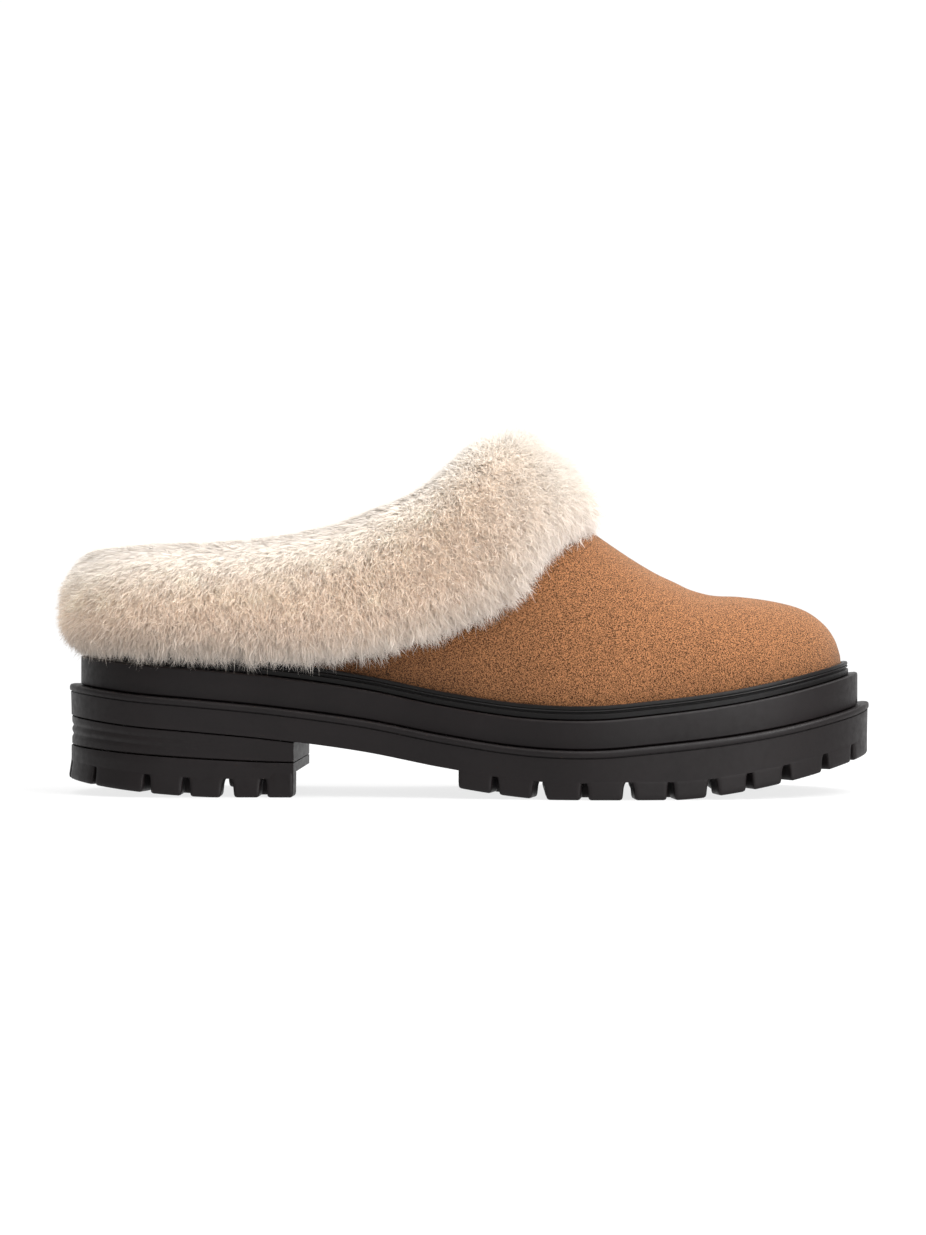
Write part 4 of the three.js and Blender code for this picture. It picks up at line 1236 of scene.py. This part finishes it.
class SLIPPER_OT_heel(Operator):
    """Builds the ribbed heel block and the top lift with its lugs"""

    bl_idname = "slipper.heel"
    bl_label = "Heel"

    def execute(self, context):
        sole = context.scene.slipper_sole
        rubber = rubber_material("heel_rubber", sole.colour, sole.roughness)
        block, lift = heel_bodies(sole)
        new_piece("heel_block_rubber", joined([block]), rubber, ("heel_block",))
        new_piece("heel_lift_rubber", lift, rubber, ("heel_lift",))
        return {"FINISHED"}


class SLIPPER_OT_midsole(Operator):
    """Builds the midsole band and the welt above it"""

    bl_idname = "slipper.midsole"
    bl_label = "Midsole and welt"

    def execute(self, context):
        sole = context.scene.slipper_sole
        rubber = rubber_material("midsole_rubber", sole.colour, sole.roughness)
        new_piece("midsole_rubber", midsole_body(), rubber, ("midsole",))
        strip = rubber_material("welt_rubber", sole.welt_colour, 0.42)
        new_piece("welt_strip", welt_body(), strip, ("welt",))
        return {"FINISHED"}


class SLIPPER_OT_upper(Operator):
    """Builds the suede shell of the upper with its fleece-lined wall"""

    bl_idname = "slipper.upper"
    bl_label = "Upper"

    def execute(self, context):
        upper = context.scene.slipper_upper
        body, painted_light = upper_body(upper.crease)
        shell = new_piece("suede_upper", body, suede_material(upper), ("upper",), 60)
        # grey point colour of painted light: painted shade along the welt and under the cuff, painted
        # highlight on the toe
        set_coat(shell, np.stack((painted_light, painted_light, painted_light, np.ones_like(painted_light)), axis=-1))
        shell.data.materials.append(
            fleece_material("lining_fleece", tuple(context.scene.slipper_wool.footbed)))
        wall = shell.modifiers.new("wall", "SOLIDIFY")
        wall.thickness = UPPER_WALL
        wall.offset = -1
        wall.material_offset = 1
        return {"FINISHED"}


class SLIPPER_OT_footbed(Operator):
    """Builds the footbed and its short pile"""

    bl_idname = "slipper.footbed"
    bl_label = "Footbed"

    def execute(self, context):
        wool = context.scene.slipper_wool
        colour = tuple(wool.footbed)
        new_piece("footbed_plate", footbed_body(), fleece_material("footbed_fleece", colour),
                  ("insole",))
        body = footbed_pile(wool, np.random.default_rng(wool.seed))
        new_piece("footbed_pile", body, fleece_material("footbed_wool", scaled(colour, 1.15)))
        return {"FINISHED"}


class SLIPPER_OT_cuff(Operator):
    """Builds the shearling cuff: its skin, and the hairs in several patches"""

    bl_idname = "slipper.cuff"
    bl_label = "Shearling cuff"

    def execute(self, context):
        wool = context.scene.slipper_wool
        skin_colour = fleece_material("shearling_skin", (0.95, 0.89, 0.81), 0.94, 0.25)
        new_piece("shearling_skin", skin_body(wool), skin_colour, ("fur_cuff",))
        material = wool_material()
        for number in range(wool.patches):
            rng = np.random.default_rng(wool.seed + number + 1)
            body, rgba = wool_patch(wool, rng, wool.hairs)
            piece = new_piece(f"shearling_wool_{number + 1}", body, material, (), 180)
            set_coat(piece, rgba)
        return {"FINISHED"}


class SLIPPER_OT_stage(Operator):
    """Builds the floor and backdrop, the lights and the camera"""

    bl_idname = "slipper.stage"
    bl_label = "Stage"

    def execute(self, context):
        stage = context.scene.slipper_stage
        scene = context.scene
        points, faces = floor_body()
        mesh = bpy.data.meshes.new("studio_floor")
        mesh.from_pydata(points.tolist(), [], faces.tolist())
        mesh.polygons.foreach_set("use_smooth", np.ones(len(mesh.polygons), dtype=bool))
        mesh.materials.append(floor_material(tuple(stage.floor), stage.glow))
        floor = bpy.data.objects.new("studio_floor", mesh)
        scene.collection.objects.link(floor)
        lights = (
            ("key", stage.key, 0.8, (0.75, -0.55, 1.15), (0.02, 0, 0.06)),
            ("fill", stage.fill, 0.4, (0.34, -0.42, 0.2), (0.08, 0, 0.04)),
            ("top", stage.top, 1.4, (-0.1, 0.0, 1.5), (0, 0, 0.05)),
            ("backdrop", stage.backdrop, 3.0, (0.0, 0.9, 2.4), (0, 3.2, 0.9)),
        )
        for name, power, size, place, aim in lights:
            light = bpy.data.lights.new(name, "AREA")
            light.energy = power
            light.size = size
            aimed(name, light, place, aim)
        world = bpy.data.worlds.new("studio")
        world.use_nodes = True
        world.node_tree.nodes["Background"].inputs["Color"].default_value = (1, 1, 1, 1)
        world.node_tree.nodes["Background"].inputs["Strength"].default_value = 0.4
        scene.world = world
        scene.view_settings.view_transform = "Standard"
        camera = bpy.data.cameras.new("camera")
        camera.lens = stage.lens
        camera.clip_start = 0.01
        scene.camera = aimed("camera", camera, stage.camera, stage.target)
        return {"FINISHED"}


class SLIPPER_PT_panel(Panel):
    """Sizes, colours and builders of the slipper"""

    bl_label = "Slipper"
    bl_idname = "SLIPPER_PT_panel"
    bl_space_type = "VIEW_3D"
    bl_region_type = "UI"
    bl_category = "Slipper"

    def draw(self, context):
        for title, group, operators in PANEL_ROWS:
            box = self.layout.box()
            box.label(text=title)
            settings = getattr(context.scene, group)
            for key in settings.__annotations__:
                box.prop(settings, key)
            for operator in operators:
                box.operator(operator.bl_idname)


PANEL_ROWS = (
    ("Sole", "slipper_sole", (SLIPPER_OT_outsole, SLIPPER_OT_heel, SLIPPER_OT_midsole)),
    ("Upper", "slipper_upper", (SLIPPER_OT_upper,)),
    ("Wool", "slipper_wool", (SLIPPER_OT_footbed, SLIPPER_OT_cuff)),
    ("Stage", "slipper_stage", (SLIPPER_OT_stage,)),
)
SETTINGS = {
    "slipper_sole": SlipperSole,
    "slipper_upper": SlipperUpper,
    "slipper_wool": SlipperWool,
    "slipper_stage": SlipperStage,
}
CLASSES = (
    *SETTINGS.values(), SLIPPER_OT_outsole, SLIPPER_OT_heel, SLIPPER_OT_midsole, SLIPPER_OT_upper,
    SLIPPER_OT_footbed, SLIPPER_OT_cuff, SLIPPER_OT_stage, SLIPPER_PT_panel,
)


def register():
    """Registers the classes and hangs the settings on the scene."""
    for cls in CLASSES:
        bpy.utils.register_class(cls)
    for name, cls in SETTINGS.items():
        setattr(bpy.types.Scene, name, PointerProperty(type=cls))


def unregister():
    """Takes the settings and the classes away again."""
    for name in SETTINGS:
        delattr(bpy.types.Scene, name)
    for cls in reversed(CLASSES):
        bpy.utils.unregister_class(cls)


def main():
    register()
    bpy.ops.slipper.stage()
    bpy.ops.slipper.outsole()
    bpy.ops.slipper.heel()
    bpy.ops.slipper.midsole()
    bpy.ops.slipper.upper()
    bpy.ops.slipper.footbed()
    bpy.ops.slipper.cuff()
    bpy.context.view_layer.update()


if __name__ == "__main__":
    main()
